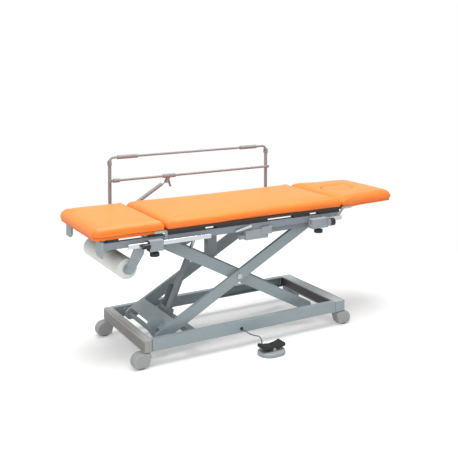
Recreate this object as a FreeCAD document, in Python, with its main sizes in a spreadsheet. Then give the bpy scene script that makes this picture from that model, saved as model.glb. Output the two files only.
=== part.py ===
# Electric examination couch: a three-section padded top on a scissor lift, standing on four castors.
# Lengths are in millimetres. X runs from the foot end to the head end, Y to the guard rail's side, Z up.
# The skill feature is the scissor lift with its electric actuator, together with the folding side rail.
import FreeCAD, Part
import Sketcher
import math
import os
import re

os.makedirs("parts", exist_ok=True)
doc = FreeCAD.newDocument("examination_couch")
sheet = doc.addObject("Spreadsheet::Sheet", "Sizes")
size_names = []
finished = []


def put(name, value):
    """Write one named size, or a formula that starts with an equals sign, into the next row of the sheet."""
    size_names.append(name)
    cell = "A" + str(len(size_names))
    sheet.set(cell, str(value))
    sheet.setAlias(cell, name)


# Cushions and boards
put("couch_length", 2000)
put("foot_length", 400)
put("centre_length", 1150)
put("pad_width", 580)
put("pad_thickness", 58)
put("pad_corner", 45)
put("pad_edge", 12)
put("seam_gap", 2)
put("head_neck", 510)
put("head_neck_run", 150)
put("head_end_width", 466)
put("head_end_corner", 60)
put("face_hole_x", 172)
put("face_hole_length", 215)
put("face_hole_width", 140)
put("plug_clearance", 1)
put("plug_ledge", 9)
put("board_thickness", 13)
put("board_inset", 14)
put("board_gap", 5)
put("seat_gap", 0.3)
put("foot_end_x", "=-couch_length / 2")
put("foot_seam_x", "=foot_end_x + foot_length")
put("head_seam_x", "=foot_seam_x + centre_length")
put("head_length", "=couch_length - foot_length - centre_length")

# Scissor arms
put("arm_span", 1090)
put("arm_angle", 28.1)
put("arm_depth", 60)
put("arm_thickness", 20)
put("inner_arm_y", 180)
put("arm_gap", 4)
put("pivot_x", -602)
put("pivot_shaft", 12)
put("centre_bolt", 10)
put("roller_pin", 8)
put("press_gap", 0.05)
put("running_gap", 0.1)
put("outer_arm_y", "=inner_arm_y + arm_thickness + arm_gap")
put("outer_face_y", "=outer_arm_y + arm_thickness / 2")
put("inner_face_y", "=inner_arm_y - arm_thickness / 2")

# Base frame
put("base_bottom", 86.5)
put("base_wall", 5)
put("base_roller", 25)
put("roller_play", 0.5)
put("roller_width", 24)
put("base_half_width", 294)
put("channel_width", 34)
put("base_left", -730)
put("base_right", 562)
put("left_beam_width", 46)
put("right_beam_width", 72)
put("closed_channel_end", 25)
put("bearing_radius", 24)
put("base_height", "=2 * (base_roller + roller_play + base_wall)")
put("pivot_z", "=base_bottom + base_height / 2")
put("channel_left", "=base_left + left_beam_width")
put("channel_right", "=base_right - right_beam_width")
put("channel_inner_y", "=base_half_width - channel_width")
put("top_pivot_z", "=pivot_z + arm_span * sin(arm_angle * 1deg)")
put("slide_x", "=pivot_x + arm_span * cos(arm_angle * 1deg)")

# Top frame
put("beam_width", 30)
put("beam_height", 36)
put("beam_rise", 10.6)
put("beam_left", -940)
put("beam_right", 525)
put("spacer_height", 15)
put("track_wall", 4)
put("top_roller", 20)
put("track_width", 32)
put("track_left", 60)
put("track_right", 488)
put("track_inner_y", "=outer_face_y + 2")
put("beam_inner_y", "=track_inner_y + track_width")
put("beam_y", "=beam_inner_y + beam_width / 2")
put("beam_outer_y", "=beam_inner_y + beam_width")
put("beam_z", "=top_pivot_z + beam_rise")
put("beam_top", "=beam_z + beam_height")
put("board_z", "=beam_top + spacer_height")
put("pad_z", "=board_z + board_thickness + seat_gap")
put("track_height", "=2 * (top_roller + roller_play + track_wall)")
put("hinge_z", "=board_z + board_thickness / 2")

# Actuator
put("base_mount_x", -490)
put("base_mount_z", 105)
put("lug_along", 305)
put("lug_above", 117)
put("lug_tube_along", 195)
put("lug_tube_radius", 20)
put("lug_radius", 16)
put("lug_thickness", 8)
put("actuator_pin", 8)
put("eye_width", 44)
put("tube_radius", 19.5)
put("tube_bore", 16.5)
put("tube_length", 385)
put("rod_radius", 10)
put("rod_length", 338)
put("actuator_lean", 0.6)
put("top_mount_x", "=pivot_x + lug_along * cos(arm_angle * 1deg) + lug_above * sin(arm_angle * 1deg)")
put("top_mount_z", "=top_pivot_z - lug_along * sin(arm_angle * 1deg) + lug_above * cos(arm_angle * 1deg)")
put("actuator_slope",
    "=atan((top_mount_z - base_mount_z) / (top_mount_x - base_mount_x)) / 1deg - actuator_lean")

# Castors
put("wheel_radius", 38)
put("wheel_width", 18)
put("wheel_gap", 12)
put("hood_radius", 44)
put("hood_cheek", 5)
put("castor_trail", 34)
put("castor_y", 262)
put("stem_radius", 6)
put("stem_length", 16)
put("boss_radius", 26)
put("hood_width", "=wheel_gap + 2 * (wheel_width + 2 + hood_cheek)")

# Side rail
put("post_radius", 10)
put("rail_y", 338)
put("rail_left", -668)
put("rail_right", 404)
put("post_foot_z", 640)
put("post_length", 325)
put("rail_tube", 7)
put("mid_rail_rise", 234)
put("top_rail_rise", 41)
put("rail_pin", 4)
put("socket_pin", 6)
put("mid_rail_y", 316)
put("strut_reach", 350)
put("strut_drop", 34)
put("strut_tube", 11)
put("strut_bore", 9)
put("strut_rod", 3.5)
put("strut_tube_length", 370)
put("strut_rod_length", 350)
put("strut_lean", 0.65)
put("strut_slope", "=atan((mid_rail_rise - strut_drop) / strut_reach) / 1deg + strut_lean")

# Foot switch
put("pedal_x", -52)
put("pedal_y", -438)
put("pedal_straight", 32)
put("pedal_round", 62)
put("pedal_height", 22)
put("rocker_half", 70)
put("rocker_width", 60)
put("rocker_top", 62)
put("rocker_pivot_z", 33)
put("cord_radius", 3)

# Accessory rails, clamps, paper roll and controls on the top frame
put("bar_thickness", 10)
put("bar_height", 24)
put("bar_offset", 22)
put("bar_drop", 3)
put("knob_radius", 25)
put("knob_height", 18)
put("roll_x", -806)
put("roll_drop", 116)
put("roll_radius", 53)
put("roll_core", 20)
put("roll_length", 510)
put("spindle_radius", 7)
put("roll_arm_thickness", 6)
put("bar_y", "=beam_outer_y + bar_offset + bar_thickness / 2")
put("bar_z", "=beam_z - bar_drop + bar_height / 2")
put("roll_z", "=beam_z - roll_drop")
put("roll_arm_y", "=roll_length / 2 + 15")

# Sideways shift that puts the middle of the overall width on the origin
put("shift_y", "=(pedal_round - pedal_y - rail_y - post_radius - 5.8) / 2")
doc.recompute()


def expr(text):
    """Put the sheet's name before each size that the text names."""
    return re.sub(r"[a-z]\w*", lambda word: "Sizes." + word[0] if word[0] in size_names else word[0],
                  str(text))


def number(text):
    """The value of an expression as a plain number."""
    value = sheet.evalExpression(expr(text))
    return float(getattr(value, "Value", value))


def new_body(label):
    body = doc.addObject("PartDesign::Body", label)
    body.Label = label
    return body


def new_sketch(body, role, name, lift="0"):
    """A sketch on one of the body's own origin planes, lifted off it by an expression where that is given."""
    sketch = body.newObject("Sketcher::SketchObject", name)
    face = [item for item in body.Origin.OriginFeatures if item.Role == role][0]
    sketch.AttachmentSupport = [(face, "")]
    sketch.MapMode = "FlatFace"
    if lift != "0":
        sketch.setExpression("AttachmentOffset.Base.z", expr(lift))
    return sketch


def place_point(sketch, part, vertex, x, y):
    """Tie one point of a sketch to two expressions, measured from the sketch's origin."""
    across = sketch.addConstraint(Sketcher.Constraint("DistanceX", -1, 1, part, vertex, number(x)))
    sketch.setExpression("Constraints[" + str(across) + "]", expr(x))
    up = sketch.addConstraint(Sketcher.Constraint("DistanceY", -1, 1, part, vertex, number(y)))
    sketch.setExpression("Constraints[" + str(up) + "]", expr(y))


def outline(sketch, corners):
    """A closed outline of straight edges through corners given as pairs of expressions."""
    points = [FreeCAD.Vector(number(x), number(y), 0) for x, y in corners]
    edges = []
    for start, end in zip(points, points[1:] + points[:1]):
        edges.append(sketch.addGeometry(Part.LineSegment(start, end), False))
    for edge, following in zip(edges, edges[1:] + edges[:1]):
        sketch.addConstraint(Sketcher.Constraint("Coincident", edge, 2, following, 1))
    for edge, (x, y) in zip(edges, corners):
        place_point(sketch, edge, 1, x, y)


def rectangle(sketch, left, low, right, high):
    outline(sketch, [(left, low), (right, low), (right, high), (left, high)])


def circle(sketch, x, y, radius):
    middle = FreeCAD.Vector(number(x), number(y), 0)
    ring = sketch.addGeometry(Part.Circle(middle, FreeCAD.Vector(0, 0, 1), number(radius)), False)
    tie = sketch.addConstraint(Sketcher.Constraint("Radius", ring, number(radius)))
    sketch.setExpression("Constraints[" + str(tie) + "]", expr(radius))
    place_point(sketch, ring, 3, x, y)


def link(sketch, first, second):
    """A link plate's outline: two round ends, each given as x, y and radius, joined by tangent lines."""
    x1, y1, r1 = [number(value) for value in first]
    x2, y2, r2 = [number(value) for value in second]
    heading = math.atan2(y2 - y1, x2 - x1)
    spread = math.acos((r1 - r2) / math.hypot(x2 - x1, y2 - y1))
    up = FreeCAD.Vector(0, 0, 1)
    left, right = heading + spread, heading - spread

    def rim(x, y, radius, angle):
        return FreeCAD.Vector(x + radius * math.cos(angle), y + radius * math.sin(angle), 0)

    near_end = Part.ArcOfCircle(Part.Circle(FreeCAD.Vector(x1, y1, 0), up, r1), left, right + 2 * math.pi)
    far_end = Part.ArcOfCircle(Part.Circle(FreeCAD.Vector(x2, y2, 0), up, r2), right, left)
    low_side = Part.LineSegment(rim(x1, y1, r1, right), rim(x2, y2, r2, right))
    high_side = Part.LineSegment(rim(x2, y2, r2, left), rim(x1, y1, r1, left))
    round_one = sketch.addGeometry(near_end, False)
    line_one = sketch.addGeometry(low_side, False)
    round_two = sketch.addGeometry(far_end, False)
    line_two = sketch.addGeometry(high_side, False)
    sketch.addConstraint(Sketcher.Constraint("Tangent", round_one, 2, line_one, 1))
    sketch.addConstraint(Sketcher.Constraint("Tangent", line_one, 2, round_two, 1))
    sketch.addConstraint(Sketcher.Constraint("Tangent", round_two, 2, line_two, 1))
    sketch.addConstraint(Sketcher.Constraint("Tangent", line_two, 2, round_one, 1))
    for arc, (x, y, radius) in ((round_one, first), (round_two, second)):
        place_point(sketch, arc, 3, x, y)
        tie = sketch.addConstraint(Sketcher.Constraint("Radius", arc, number(radius)))
        sketch.setExpression("Constraints[" + str(tie) + "]", expr(radius))


def pad(body, sketch, length, middle=True):
    feature = body.newObject("PartDesign::Pad", sketch.Name + "_pad")
    feature.Profile = sketch
    feature.setExpression("Length", expr(length))
    feature.Midplane = middle
    return feature


def pocket(body, sketch, length=None):
    """A pocket cut equally to both sides of its sketch, right through where no length is given."""
    feature = body.newObject("PartDesign::Pocket", sketch.Name + "_pocket")
    feature.Profile = sketch
    feature.Midplane = True
    if length is None:
        feature.Type = "ThroughAll"
    else:
        feature.setExpression("Length", expr(length))
    return feature


def round_edges(body, radius, wanted):
    """Round the edges of the body's last feature that the test picks."""
    doc.recompute()
    last = body.Tip
    names = ["Edge" + str(index + 1) for index, edge in enumerate(last.Shape.Edges) if wanted(edge)]
    fillet = body.newObject("PartDesign::Fillet", body.Name + "_round")
    fillet.Base = (last, names)
    fillet.setExpression("Radius", expr(radius))
    return fillet


def upright(edge):
    return edge.BoundBox.ZLength > 1 and edge.BoundBox.XLength < 0.01 and edge.BoundBox.YLength < 0.01


def stand(item, x="0", y="0", z="0", turn=None, shifted=True):
    """Place an object by expressions; turn is an axis and an angle expression in degrees."""
    if turn is not None:
        axis, angle = turn
        item.Placement = FreeCAD.Placement(FreeCAD.Vector(0, 0, 0),
                                           FreeCAD.Rotation(FreeCAD.Vector(*axis), 1))
        item.setExpression("Placement.Rotation.Angle", "(" + expr(angle) + ") * 1deg")
    item.setExpression("Placement.Base.x", expr(x))
    item.setExpression("Placement.Base.y", expr(y) + (" + Sizes.shift_y" if shifted else ""))
    item.setExpression("Placement.Base.z", expr(z))
    return item


def block(name, across, deep, high, x, y, low):
    """A box by its size, the middle of its plan and its underside."""
    item = doc.addObject("Part::Box", name)
    item.setExpression("Length", expr(across))
    item.setExpression("Width", expr(deep))
    item.setExpression("Height", expr(high))
    stand(item, "(" + x + ") - (" + across + ") / 2", "(" + y + ") - (" + deep + ") / 2", low, shifted=False)
    return item


def rod(name, radius, length, x, y, z, along="z"):
    """A cylinder by its radius and length; x, y, z give its middle across the axis and its start along it."""
    item = doc.addObject("Part::Cylinder", name)
    if along == "x":
        item.Placement.Rotation = FreeCAD.Rotation(FreeCAD.Vector(0, 1, 0), 90)
    if along == "y":
        item.Placement.Rotation = FreeCAD.Rotation(FreeCAD.Vector(1, 0, 0), -90)
    item.setExpression("Radius", expr(radius))
    item.setExpression("Height", expr(length))
    stand(item, x, y, z, shifted=False)
    return item


def join(name, *pieces):
    item = doc.addObject("Part::MultiFuse", name)
    item.Shapes = list(pieces)
    item.Refine = True
    return item


def cut(name, base, tool):
    item = doc.addObject("Part::Cut", name)
    item.Base = base
    item.Tool = tool
    item.Refine = True
    return item


def group(name, *pieces):
    item = doc.addObject("Part::Compound", name)
    item.Links = list(pieces)
    return item


def keep(item, label):
    """Finish a sub-part that is built on the couch's centre line: give it its label and its place."""
    item.Label = label
    item.setExpression("Placement.Base.y", "Sizes.shift_y")
    finished.append(item)
    return item


def keep_body(body):
    """Finish a sub-part whose own placement already sets it."""
    finished.append(body)
    return body


# Boards: plywood under each cushion, cut back from the cushion's edge
def plan_board(label, corners):
    body = new_body(label)
    sketch = new_sketch(body, "XY_Plane", label + "_plan")
    outline(sketch, corners)
    pad(body, sketch, "board_thickness", middle=False)
    return body


half_board = "(pad_width / 2 - board_inset)"
centre_board = plan_board("centre_board", [
    ("foot_seam_x + board_gap", "-" + half_board),
    ("head_seam_x - board_gap", "-" + half_board),
    ("head_seam_x - board_gap", half_board),
    ("foot_seam_x + board_gap", half_board),
])
keep_body(stand(centre_board, z="board_z"))

foot_board = plan_board("foot_board", [
    ("foot_end_x + board_inset", "-" + half_board),
    ("foot_seam_x - board_gap", "-" + half_board),
    ("foot_seam_x - board_gap", half_board),
    ("foot_end_x + board_inset", half_board),
])
round_edges(foot_board, "pad_corner - board_inset",
            lambda edge: upright(edge) and edge.BoundBox.XMax < number("foot_end_x") + 50)
keep_body(stand(foot_board, z="board_z"))


def head_plan(inset, start):
    """The head section's outline from its seam: full width, tapering in to the narrower end."""
    return [
        (start, "-pad_width / 2 + " + inset),
        ("head_neck_run", "-head_neck / 2 + " + inset),
        ("head_length - " + inset, "-head_end_width / 2 + " + inset),
        ("head_length - " + inset, "head_end_width / 2 - " + inset),
        ("head_neck_run", "head_neck / 2 - " + inset),
        (start, "pad_width / 2 - " + inset),
    ]


def head_end_edge(edge):
    return upright(edge) and edge.BoundBox.XMax > number("head_length") - 60


def oval(sketch, shrink):
    """The face hole's outline, made smaller all round by the given amount."""
    reach = "(face_hole_length - face_hole_width) / 2"
    radius = "face_hole_width / 2 - " + shrink
    link(sketch, ("face_hole_x - " + reach, "0", radius), ("face_hole_x + " + reach, "0", radius))


head_board = plan_board("head_board", head_plan("board_inset", "board_gap"))
round_edges(head_board, "head_end_corner - board_inset", head_end_edge)
hole = new_sketch(head_board, "XY_Plane", "head_board_hole")
oval(hole, "plug_ledge")
pocket(head_board, hole)
keep_body(stand(head_board, x="head_seam_x", z="board_z"))

# Cushions: closed foam pads with rounded top edges
def plan_pad(label, corners, corner_radius, picked):
    body = new_body(label)
    sketch = new_sketch(body, "XY_Plane", label + "_plan")
    outline(sketch, corners)
    pad(body, sketch, "pad_thickness", middle=False)
    if corner_radius:
        round_edges(body, corner_radius, picked)
    round_edges(body, "pad_edge", lambda edge: edge.BoundBox.ZMin > number("pad_thickness") - 0.01)
    return body


half_pad = "pad_width / 2"
half_seam = "seam_gap / 2"
centre_cushion = plan_pad("centre_cushion", [
    ("foot_seam_x + " + half_seam, "-" + half_pad),
    ("head_seam_x - " + half_seam, "-" + half_pad),
    ("head_seam_x - " + half_seam, half_pad),
    ("foot_seam_x + " + half_seam, half_pad),
], None, None)
keep_body(stand(centre_cushion, z="pad_z"))

foot_cushion = plan_pad("foot_cushion", [
    ("foot_end_x", "-" + half_pad),
    ("foot_seam_x - " + half_seam, "-" + half_pad),
    ("foot_seam_x - " + half_seam, half_pad),
    ("foot_end_x", half_pad),
], "pad_corner", lambda edge: upright(edge) and edge.BoundBox.XMax < number("foot_end_x") + 1)
keep_body(stand(foot_cushion, z="pad_z"))

head_cushion = plan_pad("head_cushion", head_plan("0", half_seam), "head_end_corner", head_end_edge)
hole = new_sketch(head_cushion, "XY_Plane", "head_cushion_hole")
oval(hole, "0")
pocket(head_cushion, hole)
keep_body(stand(head_cushion, x="head_seam_x", z="pad_z"))

face_plug = new_body("face_plug")
plan = new_sketch(face_plug, "XY_Plane", "face_plug_plan")
oval(plan, "plug_clearance")
pad(face_plug, plan, "pad_thickness", middle=False)
round_edges(face_plug, "pad_edge / 2", lambda edge: edge.BoundBox.ZMin > number("pad_thickness") - 0.01)
keep_body(stand(face_plug, x="head_seam_x", z="pad_z"))

# Section hinges: a leaf on each board edge turns on a pin held by an ear on the beam
leaf_y = "(pad_width / 2 - board_inset + 2.5)"


def hinge_leaf(name, seam, side, way):
    body = new_body(name)
    sketch = new_sketch(body, "XZ_Plane", name + "_shape")
    link(sketch, ("0", "0", "6"), (way + "60", "0", "6"))
    circle(sketch, "0", "0", "3 + running_gap")
    pad(body, sketch, "5")
    stand(body, seam, side + leaf_y, "hinge_z", shifted=False)
    return body


def hinge_ear(name, seam, side, foot_x):
    body = new_body(name)
    sketch = new_sketch(body, "XZ_Plane", name + "_shape")
    link(sketch, ("0", "0", "6.2"), (foot_x, "beam_z + beam_height / 2 - hinge_z", "9"))
    pad(body, sketch, "4")
    stand(body, seam, side + "(" + leaf_y + " + 4.8)", "hinge_z", shifted=False)
    start = "(" + leaf_y + " + 4.8)" if side == "-" else leaf_y + " - 2"
    pin = rod(name + "_pin", "3", "6.8", seam, side + start, "hinge_z", "y")
    foot_length = "(" + leaf_y + " + 3.8 - beam_outer_y)"
    foot_start = "(beam_outer_y + " + foot_length + ")" if side == "-" else "beam_outer_y"
    foot = rod(name + "_foot", "9", foot_length, seam + " + " + foot_x, side + foot_start,
               "beam_z + beam_height / 2", "y")
    return join(name + "_all", body, pin, foot)


ears = []
for seam, foot_x in (("foot_seam_x", "0"), ("head_seam_x", "-38")):
    for side in ("-", ""):
        ears.append(hinge_ear("ear_" + seam[:4] + ("_near" if side else "_far"), seam, side, foot_x))
for section, seam, way in (("foot", "foot_seam_x", "-"), ("head", "head_seam_x", "")):
    leaves = [hinge_leaf(section + "_leaf" + tag, seam, side, way) for side,
              tag in (("-", "_near"), ("", "_far"))]
    keep(group(section + "_hinge_leaves", *leaves), section + "_hinge_leaves")


# Scissor arms: flat bars with round ends, drilled for the pivot shaft, the centre bolt and the roller pin
def arm(label, side, y, z, axis):
    body = new_body(label)
    shape = new_sketch(body, "XZ_Plane", label + "_shape")
    link(shape, ("0", "0", "arm_depth / 2"), ("arm_span", "0", "arm_depth / 2"))
    bolt_gap = "press_gap" if y == "outer_arm_y" else "running_gap"
    circle(shape, "0", "0", "pivot_shaft + press_gap")
    circle(shape, "arm_span / 2", "0", "centre_bolt + " + bolt_gap)
    circle(shape, "arm_span", "0", "roller_pin + running_gap")
    pad(body, shape, "arm_thickness")
    return keep_body(stand(body, "pivot_x", side + y, z, turn=(axis, "arm_angle")))


arm("outer_front_arm", "-", "outer_arm_y", "pivot_z", (0, -1, 0))
arm("outer_rear_arm", "", "outer_arm_y", "pivot_z", (0, -1, 0))
arm("inner_front_arm", "-", "inner_arm_y", "top_pivot_z", (0, 1, 0))
arm("inner_rear_arm", "", "inner_arm_y", "top_pivot_z", (0, 1, 0))

# Outer arm yoke: the lower cross shaft, a cross plate between the arms and one rounded cheek
yoke_shaft = rod("yoke_shaft", "pivot_shaft", "2 * (base_half_width - base_wall - 1)", "0",
                 "-(base_half_width - base_wall - 1)", "0", "y")
put("yoke_plate_start", 20)
put("yoke_plate_end", 112)
put("yoke_plate_thickness", 8)
doc.recompute()
yoke_plate = block("yoke_plate", "yoke_plate_end - yoke_plate_start", "2 * (outer_arm_y - arm_thickness / 2)",
                   "yoke_plate_thickness", "(yoke_plate_end + yoke_plate_start) / 2", "0",
                   "arm_depth / 2 - yoke_plate_thickness")
yoke_cheek = new_body("yoke_cheek")
cheek_shape = new_sketch(yoke_cheek, "XZ_Plane", "cheek_shape")
link(cheek_shape, ("0", "0", "22"), ("22", "42", "48"))
circle(cheek_shape, "0", "0", "pivot_shaft")
pad(yoke_cheek, cheek_shape, "10")
stand(yoke_cheek, y="-145", shifted=False)
yoke = join("yoke_all", yoke_shaft, yoke_plate, yoke_cheek)
yoke.Label = "outer_arm_yoke"
keep_body(stand(yoke, "pivot_x", "0", "pivot_z", turn=((0, -1, 0), "arm_angle")))

# Inner arm tube: the top cross shaft, a cross tube between the arms and two lugs that carry the actuator
inner_shaft = rod("inner_shaft", "pivot_shaft", "2 * (beam_inner_y - 2)", "0", "-(beam_inner_y - 2)", "0",
                  "y")
lug_tube = rod("lug_tube", "lug_tube_radius", "2 * inner_face_y", "lug_tube_along", "-inner_face_y", "0", "y")
lugs = []
for side in ("-", ""):
    lug = new_body("lug" + ("_near" if side else "_far"))
    lug_shape = new_sketch(lug, "XZ_Plane", lug.Name + "_shape")
    link(lug_shape, ("lug_tube_along", "0", "lug_tube_radius + 4"), ("lug_along", "lug_above", "lug_radius"))
    pad(lug, lug_shape, "lug_thickness")
    stand(lug, y=side + "(eye_width / 2 + 2 + lug_thickness / 2)", shifted=False)
    lugs.append(lug)
lug_pin = rod("lug_pin", "actuator_pin", "eye_width + 4 + 2 * lug_thickness", "lug_along",
              "-(eye_width / 2 + 2 + lug_thickness)", "lug_above", "y")
inner_tube = join("inner_tube_all", inner_shaft, lug_tube, lugs[0], lugs[1], lug_pin)
inner_tube.Label = "inner_arm_tube"
keep_body(stand(inner_tube, "pivot_x", "0", "top_pivot_z", turn=((0, 1, 0), "arm_angle")))

# Centre pivot bolts: head outside the outer arm, washer between the arms, nut inside the inner arm
put("centre_x", "=pivot_x + arm_span / 2 * cos(arm_angle * 1deg)")
put("centre_z", "=pivot_z + arm_span / 2 * sin(arm_angle * 1deg)")
doc.recompute()


def centre_bolt(side):
    tag = "near" if side == "-" else "far"

    def disc(name, radius, inner, outer):
        start = side + "(" + (outer if side == "-" else inner) + ")"
        return rod(name + tag, radius, "(" + outer + ") - (" + inner + ")", "centre_x", start, "centre_z",
                   "y")

    shank = disc("bolt_shank_", "centre_bolt", "inner_face_y - 9", "outer_face_y + 2")
    head = disc("bolt_head_", "15", "outer_face_y", "outer_face_y + 8")
    washer = disc("bolt_washer_", "18", "inner_face_y + arm_thickness + 0.3",
                  "inner_face_y + arm_thickness + arm_gap")
    nut = disc("bolt_nut_", "15", "inner_face_y - 9.3", "inner_face_y - 0.3")
    return join("bolt_" + tag, shank, head, washer, nut)


keep(group("centre_pivot_bolts", centre_bolt("-"), centre_bolt("")), "centre_pivot_bolts")


# Rollers with their pins: the outer arms' upper ends and the inner arms' lower ends
def rollers(name, radius, arm_y, inner, z):
    pieces = []
    for side in ("-", ""):
        tag = name + ("_near" if side else "_far")
        far_end = inner + " + roller_width"
        inside = arm_y + " - arm_thickness / 2"
        wheel = rod(tag + "_wheel", radius, "roller_width", "slide_x",
                    side + "(" + (far_end if side else inner) + ")", z, "y")
        pin = rod(tag + "_pin", "roller_pin", "(" + far_end + ") - (" + inside + ")", "slide_x",
                  side + "(" + (far_end if side else inside) + ")", z, "y")
        pieces.append(join(tag, wheel, pin))
    keep(group(name, *pieces), name)


rollers("upper_rollers", "top_roller", "outer_arm_y", "track_inner_y + 3", "top_pivot_z")
rollers("lower_rollers", "base_roller", "inner_arm_y", "channel_inner_y + 2", "pivot_z")


# Base frame: two channels that open inwards, each welded from a floor, a roof and a web, and closed by an
# inner plate round the fixed pivot
def base_channel(label, side):
    length = "channel_right - channel_left"
    x = "(channel_right + channel_left) / 2"
    middle = side + "(base_half_width + channel_inner_y) / 2"
    clear_height = "base_height - 2 * base_wall"
    web_low = "base_bottom + base_wall"
    floor = block(label + "_floor", length, "channel_width", "base_wall", x, middle, "base_bottom")
    roof = block(label + "_roof", length, "channel_width", "base_wall", x, middle,
                 "base_bottom + base_height - base_wall")
    web = block(label + "_web", length, "base_wall", clear_height, x,
                side + "(base_half_width - base_wall / 2)", web_low)
    plate = block(label + "_plate", "closed_channel_end - channel_left", "base_wall", clear_height,
                  "(closed_channel_end + channel_left) / 2",
                  side + "(channel_inner_y + base_wall / 2)", web_low)
    boss_start = side + ("(channel_inner_y + 4)" if side else "(channel_inner_y - 12)")
    boss = rod(label + "_boss", "bearing_radius", "16", "pivot_x", boss_start, "pivot_z", "y")
    bore_start = side + ("(channel_inner_y + 10)" if side else "(channel_inner_y - 20)")
    bore = rod(label + "_bore", "pivot_shaft + running_gap", "30", "pivot_x", bore_start, "pivot_z", "y")
    closing = cut(label + "_closing", join(label + "_closing_solid", plate, boss), bore)
    return keep(group(label, floor, roof, web, closing), label)


base_channel("base_front_beam", "-")
base_channel("base_rear_beam", "")


# Base end beams with the castor stems' sockets
def base_end(label, left, width, stem_x, groove_x):
    body = new_body(label)
    plan = new_sketch(body, "XY_Plane", label + "_plan")
    rectangle(plan, left, "-base_half_width", left + " + " + width, "base_half_width")
    pad(body, plan, "base_height", middle=False)
    round_edges(body, "8", upright)
    sockets = new_sketch(body, "XY_Plane", label + "_sockets")
    circle(sockets, stem_x, "castor_y", "stem_radius + running_gap")
    circle(sockets, stem_x, "-castor_y", "stem_radius + running_gap")
    pocket(body, sockets, "2 * (stem_length + 4)")
    groove = new_sketch(body, "XZ_Plane", label + "_groove")
    rectangle(groove, groove_x, "base_height - 2", groove_x + " + 3", "base_height + 1")
    pocket(body, groove)
    return keep_body(stand(body, z="base_bottom"))


left_stem = "(base_left + left_beam_width / 2)"
right_stem = "(base_right - right_beam_width / 2)"
base_end("base_left_beam", "base_left", "left_beam_width", left_stem, "base_left + 8")
base_end("base_right_beam", "base_right - right_beam_width", "right_beam_width", right_stem,
         "base_right - 11")

# Base cross tube with the clevis that holds the actuator's lower pin
put("cross_tube_width", 40)
put("cross_tube_height", 31)
put("cross_tube_x", -405)
put("clevis_radius", 13)
doc.recompute()
cross_bar = block("cross_bar", "cross_tube_width", "2 * channel_inner_y", "cross_tube_height",
                  "cross_tube_x", "0", "base_bottom")
clevis = []
for side in ("-", ""):
    plate = new_body("clevis" + ("_near" if side else "_far"))
    shape = new_sketch(plate, "XZ_Plane", plate.Name + "_shape")
    link(shape, ("cross_tube_x", "base_mount_z", "clevis_radius"),
         ("base_mount_x", "base_mount_z", "clevis_radius"))
    pad(plate, shape, "lug_thickness")
    stand(plate, y=side + "(eye_width / 2 + 2 + lug_thickness / 2)", shifted=False)
    clevis.append(plate)
clevis_pin = rod("clevis_pin", "actuator_pin", "eye_width + 4 + 2 * lug_thickness", "base_mount_x",
                 "-(eye_width / 2 + 2 + lug_thickness)", "base_mount_z", "y")
keep(join("cross_tube_all", cross_bar, clevis[0], clevis[1], clevis_pin), "base_cross_tube")

# Actuator: gearbox and tube, motor beside it, and the rod that comes out of the tube
eye = rod("actuator_eye", "18", "eye_width", "0", "-eye_width / 2", "0", "y")
neck = block("actuator_neck", "34", "30", "30", "21", "0", "-15")
gearbox = block("gearbox", "62", "96", "46", "61", "25", "-23")
tube = rod("actuator_barrel", "tube_radius", "tube_length - 60", "60", "0", "0", "x")
solid_tube = join("actuator_solid", eye, neck, gearbox, tube)
bore = rod("actuator_bore", "tube_bore", "tube_length", "62", "0", "0", "x")
eye_hole = rod("eye_hole", "actuator_pin + running_gap", "eye_width + 2", "0", "-eye_width / 2 - 1", "0", "y")
bored_tube = cut("actuator_bored", solid_tube, join("actuator_holes", bore, eye_hole))
bored_tube.Label = "actuator_tube"
actuator_turn = ((0, -1, 0), "actuator_slope")
keep_body(stand(bored_tube, "base_mount_x", "0", "base_mount_z", turn=actuator_turn))

motor_can = rod("motor_can", "23", "110", "92", "49", "0", "x")
motor_cap = doc.addObject("Part::Cone", "motor_cap")
motor_cap.Radius1 = 23
motor_cap.Radius2 = 17
motor_cap.Height = 10
motor_cap.Placement.Rotation = FreeCAD.Rotation(FreeCAD.Vector(0, 1, 0), 90)
stand(motor_cap, "202", "49", "0", shifted=False)
motor = join("motor_all", motor_can, motor_cap)
motor.Label = "actuator_motor"
keep_body(stand(motor, "base_mount_x", "0", "base_mount_z", turn=actuator_turn))

rod_eye = rod("rod_eye", "16", "eye_width", "0", "-eye_width / 2", "0", "y")
rod_bar = rod("rod_bar", "rod_radius", "rod_length", "-rod_length", "0", "0", "x")
rod_hole = rod("rod_hole", "actuator_pin + running_gap", "eye_width + 2", "0", "-eye_width / 2 - 1", "0", "y")
actuator_rod = cut("actuator_rod_all", join("rod_solid", rod_eye, rod_bar), rod_hole)
actuator_rod.Label = "actuator_rod"
keep_body(stand(actuator_rod, "top_mount_x", "0", "top_mount_z", turn=actuator_turn))


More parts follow.
